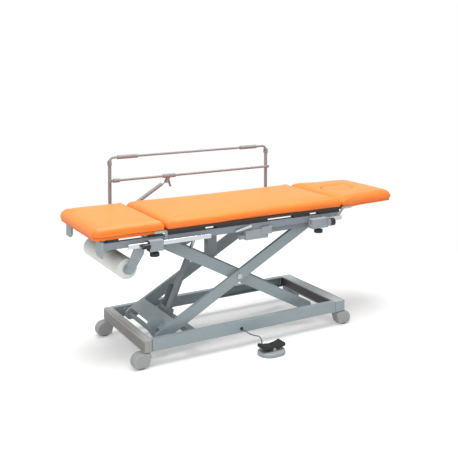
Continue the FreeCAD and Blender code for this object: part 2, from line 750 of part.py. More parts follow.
# Castors: a hood that covers twin wheels from above and both sides, trailing off its stem
def castor(label, stem_x, side, way):
    put(label + "_x", "=" + stem_x + way + "castor_trail")
    doc.recompute()
    hood = new_body(label + "_hood_shell")
    shape = new_sketch(hood, "XZ_Plane", label + "_hood_shape")
    link(shape, ("0", "wheel_radius", "hood_radius"), ("-1 * (0" + way + "castor_trail)", "62", "19"))
    pad(hood, shape, "hood_width")
    trim = new_sketch(hood, "XZ_Plane", label + "_trim")
    rectangle(trim, "-80", "-20", "80", "11")
    pocket(hood, trim)
    round_edges(hood, "6", lambda edge: abs(edge.BoundBox.YLength) < 0.01 and edge.BoundBox.ZMax > 12)
    stand(hood, label + "_x", side + "castor_y", "0", shifted=False)
    boss = rod(label + "_boss", "boss_radius - 4", "16", stem_x, side + "castor_y", "base_bottom - 0.3 - 16")
    stem = rod(label + "_stem", "stem_radius", "stem_length + 4", stem_x, side + "castor_y",
               "base_bottom - 4")
    solid = join(label + "_solid", hood, boss, stem)
    slots = []
    for inner_end, tag in (("wheel_gap / 2", "_a"), ("-wheel_gap / 2 - wheel_width - 2", "_b")):
        slots.append(rod(label + "_slot" + tag, "wheel_radius + 2", "wheel_width + 2", label + "_x",
                         side + "castor_y + " + inner_end, "wheel_radius", "y"))
    axle_hole = rod(label + "_axle_hole", "5 + running_gap", "hood_width - 4", label + "_x",
                    side + "castor_y - hood_width / 2 + 2", "wheel_radius", "y")
    keep(cut(label + "_hood_all", solid, join(label + "_voids", slots[0], slots[1], axle_hole)),
         label + "_hood")
    wheels = []
    for inner_end, tag in (("wheel_gap / 2 + 1", "_a"), ("-wheel_gap / 2 - wheel_width - 1", "_b")):
        wheels.append(rod(label + "_wheel" + tag, "wheel_radius", "wheel_width", label + "_x",
                          side + "castor_y + " + inner_end, "wheel_radius", "y"))
    axle = rod(label + "_axle", "5", "hood_width - 5", label + "_x",
               side + "castor_y - hood_width / 2 + 2.5", "wheel_radius", "y")
    keep(join(label + "_wheels_all", wheels[0], wheels[1], axle), label + "_wheels")


castor("left_front", left_stem, "-", " - ")
castor("left_rear", left_stem, "", " - ")
castor("right_front", right_stem, "-", " + ")
castor("right_rear", right_stem, "", " + ")


# Top frame beams: a box beam, the roller track welded from a floor, a roof and a web inside its right half,
# and the bearing of the fixed pivot
def upper_beam(label, side):
    beam = block(label + "_box", "beam_right - beam_left", "beam_width", "beam_height",
                 "(beam_right + beam_left) / 2", side + "beam_y", "beam_z")
    length = "track_right - track_left"
    x = "(track_right + track_left) / 2"
    middle = side + "(track_inner_y + track_width / 2)"
    low, high = "(top_pivot_z - track_height / 2)", "(top_pivot_z + track_height / 2)"
    floor = block(label + "_track_floor", length, "track_width", "track_wall", x, middle, low)
    roof = block(label + "_track_roof", length, "track_width", "track_wall", x, middle,
                 high + " - track_wall")
    web = block(label + "_track_web", length, "track_wall", "track_height - 2 * track_wall", x,
                side + "(beam_inner_y - track_wall / 2)", low + " + track_wall")
    lug = new_body(label + "_lug")
    middle_y = "-1 * " + side + "((track_inner_y + 6 + beam_inner_y) / 2)"
    bearing = new_sketch(lug, "XZ_Plane", label + "_bearing", middle_y)
    link(bearing, ("pivot_x", "top_pivot_z", "bearing_radius"),
         ("pivot_x", "beam_top - bearing_radius", "bearing_radius"))
    pad(lug, bearing, "beam_inner_y - track_inner_y - 6")
    bore = new_sketch(lug, "XZ_Plane", label + "_bore", middle_y)
    circle(bore, "pivot_x", "top_pivot_z", "pivot_shaft + running_gap")
    pocket(lug, bore, "beam_inner_y - track_inner_y - 6")
    return keep(group(label, beam, floor, roof, web, stand(lug, shifted=False)), label)


upper_beam("upper_front_beam", "-")
upper_beam("upper_rear_beam", "")

cross_tubes = []
for place, x in enumerate(("beam_left + 40", "-200", "beam_right - 18")):
    cross_tubes.append(block("upper_cross_" + str(place), "30", "2 * beam_inner_y", "beam_height - 6", x, "0",
                             "beam_z + 6"))
keep(group("upper_cross_tubes", *cross_tubes), "upper_cross_tubes")

# Spacers between the beams and the boards; the foot board only rests on its own four
spacers = []
for side, tag in (("-", "near"), ("", "far")):
    for left, right in (("-590", "-368"), ("-301", "25"), ("201", "313"), ("377", "beam_right")):
        spacers.append(block("spacer_" + tag + left[1:], right + " - " + left, "beam_width", "spacer_height",
                             "(" + right + " + " + left + ") / 2", side + "beam_y", "beam_top"))
    for left in ("-920", "-690"):
        spacers.append(block("rest_" + tag + left[1:], "60", "beam_width", "spacer_height - seat_gap",
                             left + " + 30", side + "beam_y", "beam_top"))
keep(group("pad_spacers", *spacers), "pad_spacers")


# End brackets: plates across the beam ends at the foot, with a rounded lower inner corner
def end_bracket(name, side):
    body = new_body(name)
    face = new_sketch(body, "YZ_Plane", name + "_face", "beam_left - 10")
    rectangle(face, side + "(beam_outer_y - 88)", "beam_z - 38", side + "beam_outer_y", "beam_top + 6")
    pad(body, face, "10", middle=False)
    limit = number("beam_outer_y") - 87

    def lower_inner(edge):
        box = edge.BoundBox
        return box.ZMax < number("beam_z") and box.XLength > 9 and abs(box.YMin) < limit

    round_edges(body, "34", lower_inner)
    stand(body, shifted=False)
    return body


end_plates = [end_bracket("bracket_near", "-"), end_bracket("bracket_far", "")]
keep(group("frame_brackets", *end_plates, *ears), "frame_brackets")


# Accessory rails: flat chrome bars held off the front beam by studs
def accessory_bar(name, left, right, first_stud):
    length = right + " - (" + left + ")"
    bar = new_body(name)
    section = new_sketch(bar, "YZ_Plane", name + "_section", left)
    rectangle(section, "-bar_y - bar_thickness / 2", "bar_z - bar_height / 2", "-bar_y + bar_thickness / 2",
              "bar_z + bar_height / 2")
    pad(bar, section, length, middle=False)
    round_edges(bar, "3", lambda edge: edge.BoundBox.XLength > 20)
    stand(bar, shifted=False)
    studs = []
    for place, x in enumerate((left + " + " + first_stud, right + " - 30")):
        studs.append(rod(name + "_stud_" + str(place), "8", "bar_offset", x, "-beam_outer_y - bar_offset",
                         "bar_z + 3", "y"))
    return join(name + "_all", bar, studs[0], studs[1])


left_bar = accessory_bar("bar_left", "-820", "-350", "30")
right_bar = accessory_bar("bar_right", "300", "520", "125")
keep(group("accessory_rails", left_bar, right_bar), "accessory_rails")


# Rail clamps: a slotted block on each accessory rail with a side cap, and a screw knob underneath
def clamp(tag, left, right, low, cap_x, cap_length, cap_radius, knob_x):
    put(tag + "_knob_x", knob_x)
    put(tag + "_clamp_z", "=bar_z + " + low)
    doc.recompute()
    width = str(right - left)
    middle = str((left + right) / 2)
    body = block(tag + "_clamp_body", width, "42", "54", middle, "-bar_y", tag + "_clamp_z")
    cap_y = "-bar_y - bar_thickness / 2 - 1 - " + cap_radius
    cap = rod(tag + "_clamp_cap", cap_radius, cap_length, cap_x, cap_y, tag + "_clamp_z + 31", "x")
    slot = block(tag + "_clamp_slot", str(right - left + 2), "bar_thickness", "bar_height", middle, "-bar_y",
                 "bar_z - bar_height / 2")
    hole = rod(tag + "_clamp_hole", "6 + running_gap", "14", tag + "_knob_x", "-bar_y", tag + "_clamp_z - 1")
    knob = rod(tag + "_knob_disc", "knob_radius", "knob_height", tag + "_knob_x", "-bar_y",
               tag + "_clamp_z - 28")
    stem = rod(tag + "_knob_stem", "6", "24", tag + "_knob_x", "-bar_y", tag + "_clamp_z - 14")
    grips = []
    for turn in range(6):
        angle = math.radians(60 * turn)
        x = tag + "_knob_x + (knob_radius + 1) * " + str(round(math.cos(angle), 4))
        y = "-bar_y + (knob_radius + 1) * " + str(round(math.sin(angle), 4))
        grips.append(rod(tag + "_grip_" + str(turn), "5", "knob_height + 2", x, y, tag + "_clamp_z - 29"))
    knob_solid = cut(tag + "_knob_grips", knob, join(tag + "_grips", *grips))
    keep(join(tag + "_knob_all", knob_solid, stem), tag + "_clamp_knob")
    return cut(tag + "_clamp_all", join(tag + "_clamp_solid", body, cap),
               join(tag + "_clamp_voids", slot, hole))


left_clamp = clamp("left", -711, -634, "-35", "-750", "40", "13", -676)
right_clamp = clamp("right", 301, 408, "-40", "407", "34", "22", 354)
keep(group("clamp_blocks", left_clamp, right_clamp), "clamp_blocks")


# Paper roll on a spindle between two arms below the foot end of the top frame
def roll_arm(name, side):
    body = new_body(name)
    shape = new_sketch(body, "XZ_Plane", name + "_shape")
    link(shape, ("roll_x + 8", "roll_z", "24"), ("roll_x + 55", "beam_z - 31", "31"))
    pad(body, shape, "roll_arm_thickness")
    hole = new_sketch(body, "XZ_Plane", name + "_hole")
    circle(hole, "roll_x", "roll_z", "spindle_radius + press_gap")
    pocket(body, hole)
    stand(body, y=side + "(roll_arm_y + roll_arm_thickness / 2)", shifted=False)
    flange = block(name + "_flange", "62", "beam_outer_y - beam_inner_y", "5", "roll_x + 55", side + "beam_y",
                   "beam_z - 5")
    return join(name + "_all", body, flange)


roll_arms = [roll_arm("arm_near", "-"), roll_arm("arm_far", "")]

roll_solid = rod("roll_solid", "roll_radius", "roll_length", "roll_x", "-roll_length / 2", "roll_z", "y")
roll_hole = rod("roll_hole", "roll_core", "roll_length + 2", "roll_x", "-roll_length / 2 - 1", "roll_z", "y")
keep(cut("paper_roll_all", roll_solid, roll_hole), "paper_roll")

spindle_parts = [rod("spindle_bar", "spindle_radius", "2 * roll_arm_y + 2 * roll_arm_thickness + 4", "roll_x",
                     "-roll_arm_y - roll_arm_thickness - 2", "roll_z", "y")]
for side, tag in (("-", "near"), ("", "far")):
    hub_start = side + ("roll_length / 2" if side else "(roll_length / 2 - 30)")
    flange_start = side + ("(roll_length / 2 + 8)" if side else "(roll_length / 2 + 0.5)")
    neck_start = side + ("(roll_length / 2 + 1)" if side else "(roll_length / 2 - 1)")
    nut_start = side + ("(roll_arm_y + roll_arm_thickness + 7)" if side
                        else "(roll_arm_y + roll_arm_thickness)")
    spindle_parts.append(rod("hub_" + tag, "roll_core - press_gap", "30", "roll_x", hub_start, "roll_z", "y"))
    spindle_parts.append(rod("hub_flange_" + tag, "25", "7.5", "roll_x", flange_start, "roll_z", "y"))
    spindle_parts.append(rod("hub_neck_" + tag, "roll_core - 2", "2", "roll_x", neck_start, "roll_z", "y"))
    spindle_parts.append(rod("spindle_nut_" + tag, "11", "7", "roll_x", nut_start, "roll_z", "y"))
keep(group("roll_holder", *roll_arms, join("roll_spindle", *spindle_parts)), "roll_holder")

# Control box with its plug and mounting plate, release lever and hanging junction box
box_shell = new_body("box_shell")
plan = new_sketch(box_shell, "XY_Plane", "box_plan")
rectangle(plan, "-120", "-beam_outer_y - 10", "25", "-beam_inner_y + 14")
pad(box_shell, plan, "50", middle=False)
round_edges(box_shell, "6", upright)
stand(box_shell, z="beam_z - 50", shifted=False)
box_plug = rod("box_plug", "14", "31", "-150", "-beam_y", "beam_z - 34", "x")
box_plate = block("box_plate", "66", "4", "40", "12", "-beam_outer_y - 12", "beam_z - 28")
plate_pad = block("plate_pad", "16", "10", "12", "37", "-beam_outer_y - 5", "beam_z")
keep(join("control_box_all", box_shell, box_plug, box_plate, plate_pad), "control_box")

lever_bar = new_body("lever_bar")
lever_shape = new_sketch(lever_bar, "XZ_Plane", "lever_shape")
link(lever_shape, ("0", "0", "8"), ("-90", "-18", "5"))
pad(lever_bar, lever_shape, "6")
stand(lever_bar, y="-beam_outer_y - 9", shifted=False)
lever_boss = rod("lever_boss", "7", "8", "0", "-beam_outer_y - 8.3", "0", "y")
lever = join("lever_all", lever_bar, lever_boss)
lever.Label = "release_lever"
keep_body(stand(lever, "-93", "0", "beam_z + 26"))

hung_box = new_body("hung_box")
plan = new_sketch(hung_box, "XY_Plane", "hung_box_plan")
rectangle(plan, "-268", "-110", "-205", "-70")
pad(hung_box, plan, "125", middle=False)
round_edges(hung_box, "5", upright)
stand(hung_box, z="beam_z - 166", shifted=False)
hanger = block("box_hanger", "8", "20", "50", "-209", "-90", "beam_z - 44")
keep(join("junction_box_all", hung_box, hanger), "junction_box")


# Side rail: socket blocks with their pins, folding posts, top tube, middle rail, trigger and strut
def socket(name, x, stand_off):
    block_part = new_body(name)
    shape = new_sketch(block_part, "XZ_Plane", name + "_shape")
    link(shape, ("0", "post_foot_z", "17"), ("0", "beam_z + 18", "17"))
    pad(block_part, shape, stand_off + " - beam_outer_y")
    stand(block_part, x, "(" + stand_off + " + beam_outer_y) / 2", "0", shifted=False)
    pin = rod(name + "_pin", "socket_pin", "rail_y + post_radius + 3 - " + stand_off + " + 5", x,
              stand_off + " - 5", "post_foot_z", "y")
    head = rod(name + "_head", "9", "5", x, "rail_y + post_radius + 0.8", "post_foot_z", "y")
    return join(name + "_all", block_part, pin, head)


left_socket = socket("socket_left", "rail_left", "(mid_rail_y - strut_tube - 1)")
right_socket = socket("socket_right", "rail_right", "(rail_y - post_radius - 1)")
keep(group("side_rail_sockets", left_socket, right_socket), "side_rail_sockets")


def post(label, x):
    """A round post drilled for its foot pin, the middle rail's pin and the top tube's pin."""
    body = new_body(label)
    section = new_sketch(body, "XY_Plane", label + "_section", "4")
    circle(section, "0", "0", "post_radius")
    pad(body, section, "post_length - 7", middle=False)
    ends = new_sketch(body, "XZ_Plane", label + "_foot")
    circle(ends, "0", "0", "post_radius + 5")
    pad(body, ends, "2 * post_radius + 1")
    crown = new_sketch(body, "XZ_Plane", label + "_crown")
    circle(crown, "0", "post_length", "post_radius - 0.6")
    pad(body, crown, "2 * post_radius - 4")
    holes = new_sketch(body, "XZ_Plane", label + "_holes")
    circle(holes, "0", "0", "socket_pin + running_gap")
    circle(holes, "0", "mid_rail_rise", "rail_pin + running_gap")
    circle(holes, "0", "post_length", "rail_pin + running_gap")
    pocket(body, holes)
    return keep_body(stand(body, x, "rail_y", "post_foot_z"))


post("side_rail_left_post", "rail_left")
post("side_rail_right_post", "rail_right")

# Top tube of the side rail: a bent pipe with a fork and pin at each end and two grip sleeves
top_tube = new_body("top_tube")
path = new_sketch(top_tube, "XZ_Plane", "top_tube_path")
bend = number("top_rail_rise") - 15
left, right = number("rail_left"), number("rail_right")
floor = number("post_foot_z + post_length")
axis_up = FreeCAD.Vector(0, 0, 1)
corner_left = FreeCAD.Vector(left + bend, floor + 15, 0)
corner_right = FreeCAD.Vector(right - bend, floor + 15, 0)
first = path.addGeometry(Part.LineSegment(FreeCAD.Vector(left, floor + 12, 0),
                                          FreeCAD.Vector(left, floor + 15, 0)), False)
turn_one = path.addGeometry(Part.ArcOfCircle(Part.Circle(corner_left, axis_up, bend), math.pi / 2, math.pi),
                            False)
span = path.addGeometry(Part.LineSegment(FreeCAD.Vector(left + bend, floor + 15 + bend, 0),
                                         FreeCAD.Vector(right - bend, floor + 15 + bend, 0)), False)
turn_two = path.addGeometry(Part.ArcOfCircle(Part.Circle(corner_right, axis_up, bend), 0, math.pi / 2), False)
last = path.addGeometry(Part.LineSegment(FreeCAD.Vector(right, floor + 15, 0),
                                         FreeCAD.Vector(right, floor + 12, 0)), False)
path.addConstraint(Sketcher.Constraint("Tangent", first, 2, turn_one, 2))
path.addConstraint(Sketcher.Constraint("Tangent", turn_one, 1, span, 1))
path.addConstraint(Sketcher.Constraint("Tangent", span, 2, turn_two, 2))
path.addConstraint(Sketcher.Constraint("Tangent", turn_two, 1, last, 1))
path.addConstraint(Sketcher.Constraint("Equal", turn_one, turn_two))
place_point(path, first, 1, "rail_left", "post_foot_z + post_length + 12")
place_point(path, first, 2, "rail_left", "post_foot_z + post_length + 15")
place_point(path, last, 2, "rail_right", "post_foot_z + post_length + 12")
rise = path.addConstraint(Sketcher.Constraint("DistanceY", -1, 1, span, 1, floor + 15 + bend))
path.setExpression("Constraints[" + str(rise) + "]", expr("post_foot_z + post_length + top_rail_rise"))
ring = new_sketch(top_tube, "XY_Plane", "top_tube_ring", "post_foot_z + post_length + 12")
circle(ring, "rail_left", "0", "rail_tube")
sweep = top_tube.newObject("PartDesign::AdditivePipe", "top_tube_sweep")
sweep.Profile = ring
sweep.Spine = path
stand(top_tube, y="rail_y", shifted=False)
rail_parts = [top_tube]
for tag, x in (("left", "rail_left"), ("right", "rail_right")):
    hinge_height = "post_foot_z + post_length"
    for cheek_y, which in (("rail_y - post_radius - 3.3", "_in"), ("rail_y + post_radius + 0.3", "_out")):
        cheek = new_body("fork_" + tag + which)
        shape = new_sketch(cheek, "XZ_Plane", cheek.Name + "_shape")
        link(shape, ("0", "0", "9"), ("0", "18", "8"))
        pad(cheek, shape, "3", middle=False)
        stand(cheek, x, cheek_y + " + 3", hinge_height, shifted=False)
        rail_parts.append(cheek)
    rail_parts.append(block("fork_bridge_" + tag, "16", "2 * post_radius + 6.6", "6", x, "rail_y",
                            hinge_height + " + 12"))
    rail_parts.append(rod("fork_pin_" + tag, "rail_pin", "2 * post_radius + 2", x, "rail_y - post_radius - 1",
                          hinge_height, "y"))
rail_parts.append(rod("sleeve_left", "12", "125", "rail_left + 48", "rail_y",
                      "post_foot_z + post_length + top_rail_rise", "x"))
rail_parts.append(rod("sleeve_right", "12", "120", "rail_right - 193", "rail_y",
                      "post_foot_z + post_length + top_rail_rise", "x"))
keep(join("top_tube_all", *rail_parts), "side_rail_top_tube")

# Middle rail of the side rail with its collars and the hanger of the strut and the trigger
mid_z = "post_foot_z + mid_rail_rise"
strut_x = "(rail_left + strut_reach)"
strut_z = "(post_foot_z + mid_rail_rise - strut_drop)"
mid_parts = [
    rod("mid_bar", "rail_tube", "rail_right - rail_left", "rail_left", "mid_rail_y", mid_z, "x"),
    rod("mid_collar_left", "12", "37", "rail_left + 14", "mid_rail_y", mid_z, "x"),
    rod("mid_collar_centre", "12", "80", strut_x + " - 20", "mid_rail_y", mid_z, "x"),
]
for tag, x in (("left", "rail_left"), ("right", "rail_right")):
    mid_parts.append(rod("mid_boss_" + tag, "9", "rail_y - post_radius - mid_rail_y + 6.7", x,
                         "mid_rail_y - 7", mid_z, "y"))
    mid_parts.append(rod("mid_pin_" + tag, "rail_pin", "rail_y + post_radius - mid_rail_y", x, "mid_rail_y",
                         mid_z, "y"))
for inner_y, tag in (("mid_rail_y - 9", "_in"), ("mid_rail_y + 6", "_out")):
    hanger_plate = new_body("strut_hanger" + tag)
    shape = new_sketch(hanger_plate, "XZ_Plane", hanger_plate.Name + "_shape")
    link(shape, ("0", "0", "8"), ("20", "strut_drop", "10"))
    pad(hanger_plate, shape, "3", middle=False)
    stand(hanger_plate, strut_x, inner_y + " + 3", strut_z, shifted=False)
    mid_parts.append(hanger_plate)
mid_parts.append(rod("strut_hanger_pin", "3", "18", strut_x, "mid_rail_y - 9", strut_z, "y"))
mid_parts.append(rod("trigger_pin", "3", "18", strut_x + " + 13", "mid_rail_y - 9", strut_z + " + 14", "y"))
keep(join("mid_rail_all", *mid_parts), "side_rail_mid_rail")

trigger = new_body("trigger_blade")
shape = new_sketch(trigger, "XZ_Plane", "trigger_shape")
link(shape, ("0", "0", "6"), ("14", "-42", "5"))
circle(shape, "0", "0", "3 + running_gap")
pad(trigger, shape, "8")
stand(trigger, strut_x + " + 13", "mid_rail_y", strut_z + " + 14", shifted=False)
keep(group("side_rail_trigger", trigger), "side_rail_trigger")

# Strut of the side rail: a tube on the left socket's pin and a rod on the middle rail's hanger
strut_turn = ((0, -1, 0), "strut_slope")
strut_eye = rod("strut_eye", "14", "18", "0", "-9", "0", "y")
strut_barrel = rod("strut_barrel", "strut_tube", "strut_tube_length - 8", "8", "0", "0", "x")
strut_bore_void = rod("strut_bore_void", "strut_bore", "strut_tube_length", "20", "0", "0", "x")
strut_eye_void = rod("strut_eye_void", "socket_pin + running_gap", "30", "0", "-15", "0", "y")
strut_tube = cut("strut_tube_all", join("strut_tube_solid", strut_eye, strut_barrel),
                 join("strut_tube_voids", strut_bore_void, strut_eye_void))
strut_tube.Label = "side_rail_strut_tube"
keep_body(stand(strut_tube, "rail_left", "mid_rail_y", "post_foot_z", turn=strut_turn))

strut_top_eye = rod("strut_top_eye", "6", "8", "0", "-4", "0", "y")
strut_bar = rod("strut_bar", "strut_rod", "strut_rod_length", "-strut_rod_length", "0", "0", "x")
strut_top_void = rod("strut_top_void", "3 + running_gap", "12", "0", "-6", "0", "y")
strut_rod = cut("strut_rod_all", join("strut_rod_solid", strut_top_eye, strut_bar), strut_top_void)
strut_rod.Label = "side_rail_strut_rod"
keep_body(stand(strut_rod, strut_x, "mid_rail_y", strut_z, turn=strut_turn))


# Foot switch: an oblong base on the floor with two ears, and a saddle-shaped rocker on a pin between them
def oblong(sketch, shrink):
    radius = "pedal_round - " + shrink
    link(sketch, ("-pedal_straight / 2", "0", radius), ("pedal_straight / 2", "0", radius))


pedal_shell = new_body("pedal_shell")
plan = new_sketch(pedal_shell, "XY_Plane", "pedal_plan")
oblong(plan, "0")
pad(pedal_shell, plan, "pedal_height", middle=False)
round_edges(pedal_shell, "9", lambda edge: edge.BoundBox.ZMin > number("pedal_height") - 0.01)
stand(pedal_shell, "pedal_x", "pedal_y", shifted=False)
pedal_parts = [pedal_shell]
for side, tag in (("-", "near"), ("+", "far")):
    ear = new_body("pedal_ear_" + tag)
    shape = new_sketch(ear, "XZ_Plane", ear.Name + "_shape")
    link(shape, ("0", "rocker_pivot_z", "8"), ("0", "pedal_height - 10", "9"))
    pad(ear, shape, "5")
    stand(ear, "pedal_x", "pedal_y " + side + " (rocker_width / 2 + 3)", "0", shifted=False)
    pedal_parts.append(ear)
pedal_parts.append(rod("pedal_pin", "4", "rocker_width + 8", "pedal_x", "pedal_y - rocker_width / 2 - 4",
                       "rocker_pivot_z", "y"))
relief = doc.addObject("Part::Cone", "cord_relief")
relief.setExpression("Radius1", expr("cord_radius + 4"))
relief.setExpression("Radius2", expr("cord_radius + 1"))
relief.Height = 14
stand(relief, "pedal_x - 28", "pedal_y + 50", "pedal_height - 6", shifted=False)
pedal_parts.append(relief)
keep(join("pedal_base_all", *pedal_parts), "pedal_base")

rocker = new_body("rocker_saddle")
side_view = new_sketch(rocker, "XZ_Plane", "rocker_side_view")
outline(side_view, [
    ("-rocker_half", "rocker_top - 22"), ("-10", "rocker_pivot_z - 4"), ("10", "rocker_pivot_z - 4"),
    ("rocker_half", "rocker_top - 22"), ("rocker_half", "rocker_top"), ("rocker_half / 2", "rocker_top - 12"),
    ("0", "rocker_top - 16"), ("-rocker_half / 2", "rocker_top - 12"), ("-rocker_half", "rocker_top"),
])
pad(rocker, side_view, "rocker_width")
round_edges(rocker, "7",
            lambda edge: edge.BoundBox.YLength > 10 and abs(edge.BoundBox.XMin) > number("rocker_half") - 1)
pin_hole = new_sketch(rocker, "XZ_Plane", "rocker_pin_hole")
circle(pin_hole, "0", "rocker_pivot_z", "4 + running_gap")
pocket(rocker, pin_hole)
rocker.Label = "pedal_rocker"
keep_body(stand(rocker, "pedal_x", "pedal_y", "0"))

# Cord gland on the front base beam, tapering down to the cord
put("gland_x", -154)
put("gland_z", 108)
doc.recompute()
gland_nut = rod("gland_nut", "9", "5", "gland_x", "-base_half_width - 5", "gland_z", "y")
gland_cone = doc.addObject("Part::Cone", "gland_cone")
gland_cone.setExpression("Radius1", expr("cord_radius + 4"))
gland_cone.setExpression("Radius2", expr("cord_radius + 1"))
gland_cone.Height = 10
gland_cone.Placement.Rotation = FreeCAD.Rotation(FreeCAD.Vector(1, 0, 0), 90)
stand(gland_cone, "gland_x", "-base_half_width - 5", "gland_z", shifted=False)
keep(join("cord_gland_all", gland_nut, gland_cone), "cord_gland")

# Foot switch cord: straight runs joined by tangent arcs, from the gland to the pedal's strain relief
start = [number("gland_x"), -number("base_half_width") - 15, number("gland_z")]
end = [number("pedal_x") - 28, number("pedal_y") + 50, number("pedal_height") + 8]
route = [
    start,
    [start[0] + 2, start[1] - 29, start[2] - 3],
    [-116, -352, 82],
    [end[0] + 2, end[1] + 4, 80],
    end,
]
points = [FreeCAD.Vector(*place) for place in route]
pieces = []
here = points[0]
radii = []
for before, corner, after in zip(points, points[1:], points[2:]):
    into = (corner - before).normalize()
    out = (after - corner).normalize()
    half_turn = into.getAngle(out) / 2
    shorter = min((corner - before).Length, (after - corner).Length)
    radius = 0.45 * shorter / math.tan(half_turn)
    reach = 0.45 * shorter
    radii.append(round(radius, 1))
    arc_start = corner - into * reach
    arc_end = corner + out * reach
    inward = (out - into).normalize()
    centre = corner + inward * (radius / math.cos(half_turn))
    arc_middle = centre - inward * radius
    pieces.append(Part.LineSegment(here, arc_start).toShape())
    pieces.append(Part.Arc(arc_start, arc_middle, arc_end).toShape())
    here = arc_end
pieces.append(Part.LineSegment(here, points[-1]).toShape())
wire = Part.Wire(pieces)
section = Part.Wire(Part.Circle(points[0], points[1] - points[0], number("cord_radius")).toShape())
cord = doc.addObject("Part::Feature", "foot_switch_cord")
cord.Shape = wire.makePipeShell([section], True, True)
cord.Label = "foot_switch_cord"
cord.setExpression("Placement.Base.y", "Sizes.shift_y")
finished.append(cord)
print("cord bend radii", radii)
cord_section = math.pi * number("cord_radius") ** 2
print("cord volume over section times length", round(cord.Shape.Volume / (cord_section * wire.Length), 4))

# Check every sub-part, then write its solid
doc.recompute()
faulty = [item.Label + " " + item.getStatusString() for item in doc.Objects
          if "Invalid" in item.State or "Error" in item.State]
if faulty:
    raise RuntimeError("not computed: " + ", ".join(faulty))
for item in finished:
    shape = item.Shape
    if shape.isNull() or not shape.isValid() or shape.Volume < 1:
        raise RuntimeError(item.Label + " has no valid solid")
    shape.exportStep("parts/" + item.Label + ".step")
    print(item.Label, len(shape.Solids), round(shape.Volume / 1000, 1))
print(len(finished), "sub-parts")
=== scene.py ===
# Electric examination couch: three orange pads on a steel frame that a scissor lift raises, with a folding
# side rail behind, clamps and a paper roll on the near side, a foot switch on the floor and four castors.
import math
import bpy
import numpy as np
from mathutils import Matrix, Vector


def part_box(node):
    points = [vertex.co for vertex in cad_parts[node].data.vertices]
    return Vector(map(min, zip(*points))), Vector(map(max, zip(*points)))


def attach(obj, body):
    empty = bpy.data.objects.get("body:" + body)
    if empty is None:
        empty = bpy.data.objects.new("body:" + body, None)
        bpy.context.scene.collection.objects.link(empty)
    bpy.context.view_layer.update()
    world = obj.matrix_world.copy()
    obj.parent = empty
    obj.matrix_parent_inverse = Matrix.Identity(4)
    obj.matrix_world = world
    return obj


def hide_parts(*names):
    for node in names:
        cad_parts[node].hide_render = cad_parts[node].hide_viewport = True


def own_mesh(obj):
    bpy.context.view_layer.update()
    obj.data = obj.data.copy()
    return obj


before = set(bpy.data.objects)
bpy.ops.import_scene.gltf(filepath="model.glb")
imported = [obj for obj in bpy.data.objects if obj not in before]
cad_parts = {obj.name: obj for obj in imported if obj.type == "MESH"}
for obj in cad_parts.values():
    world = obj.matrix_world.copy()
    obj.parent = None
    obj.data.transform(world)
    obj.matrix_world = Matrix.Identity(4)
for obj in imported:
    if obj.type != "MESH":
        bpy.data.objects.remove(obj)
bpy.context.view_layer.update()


# Camera. It stands in front of the foot end, a little higher than the side rail, and looks slightly down;
# the picture is shifted so that the couch sits where the photograph has it.
lens = bpy.data.cameras.new("camera")
lens.lens = 60.42
lens.sensor_width = 36
lens.shift_y = -0.3144
camera = bpy.data.objects.new("camera", lens)
camera.location = (-2.273, -3.769, 1.667)
camera.rotation_euler = (math.radians(86.9135), 0, math.radians(-29.897))
bpy.context.scene.collection.objects.link(camera)
bpy.context.scene.camera = camera


# Foot switch cord. A thin grey cable with a soft vinyl jacket, held by a gland in the front base beam and
# moulded into the strain relief of the foot switch, into which it drops from above.
class Shade:
    """A node socket in a material. Arithmetic on it adds Math nodes, and node() makes any other node."""

    def __init__(self, tree, socket=None):
        self.tree = tree
        self.socket = socket

    def node(self, kind, settings=(), inputs=(), output=0):
        made = self.tree.nodes.new("ShaderNode" + kind)
        for name, value in dict(settings).items():
            setattr(made, name, value)
        for name, value in dict(inputs).items():
            if isinstance(value, Shade):
                self.tree.links.new(value.socket, made.inputs[name])
            else:
                made.inputs[name].default_value = value
        return Shade(self.tree, made.outputs[output] if len(made.outputs) else None)

    def math(self, operation, a, b=0.0):
        return self.node("Math", {"operation": operation}, {0: a, 1: b})

    def __add__(self, other):
        return self.math("ADD", self, other)

    def __radd__(self, other):
        return self.math("ADD", other, self)

    def __sub__(self, other):
        return self.math("SUBTRACT", self, other)

    def __rsub__(self, other):
        return self.math("SUBTRACT", other, self)

    def __mul__(self, other):
        return self.math("MULTIPLY", self, other)

    def __rmul__(self, other):
        return self.math("MULTIPLY", other, self)

    def __pow__(self, other):
        return self.math("POWER", self, other)

    def tint(self, low, high):
        """Colour that goes from low to high as this value goes from 0 to 1; either may be linked."""
        return self.node("Mix", {"data_type": "RGBA"}, {0: self, 6: low, 7: high}, 2)

    def noise(self, scale, detail=2.0, stretch=(1, 1, 1)):
        """Cloudy values from 0 to 1 in the piece's own coordinates, scale in clouds per metre."""
        place = self.node("TexCoord", output="Object")
        place = self.node("Mapping", {}, {"Vector": place, "Scale": stretch})
        return self.node("TexNoise", {}, {"Vector": place, "Scale": scale, "Detail": detail})

    def pebbles(self, scale):
        """Distance to the middle of the nearest pebble of a grain, 0 to about 1."""
        place = self.node("TexCoord", output="Object")
        return self.node("TexVoronoi", {}, {"Vector": place, "Scale": scale})

    def axis(self, name):
        """One of the piece's own coordinates, in metres."""
        return self.node("SeparateXYZ", {}, {"Vector": self.node("TexCoord", output="Object")}, name)

    def facing(self, name):
        """How far the surface faces along one of the piece's own axes, -1 to 1."""
        return self.node("SeparateXYZ", {}, {"Vector": self.node("TexCoord", output="Normal")}, name)



def rgb(red, green, blue):
    """Linear colour of a screen colour given as 0 to 255."""
    screen = np.array([red, green, blue]) / 255
    linear = np.where(screen <= 0.04045, screen / 12.92, ((screen + 0.055) / 1.055) ** 2.4)
    return (*linear.tolist(), 1.0)


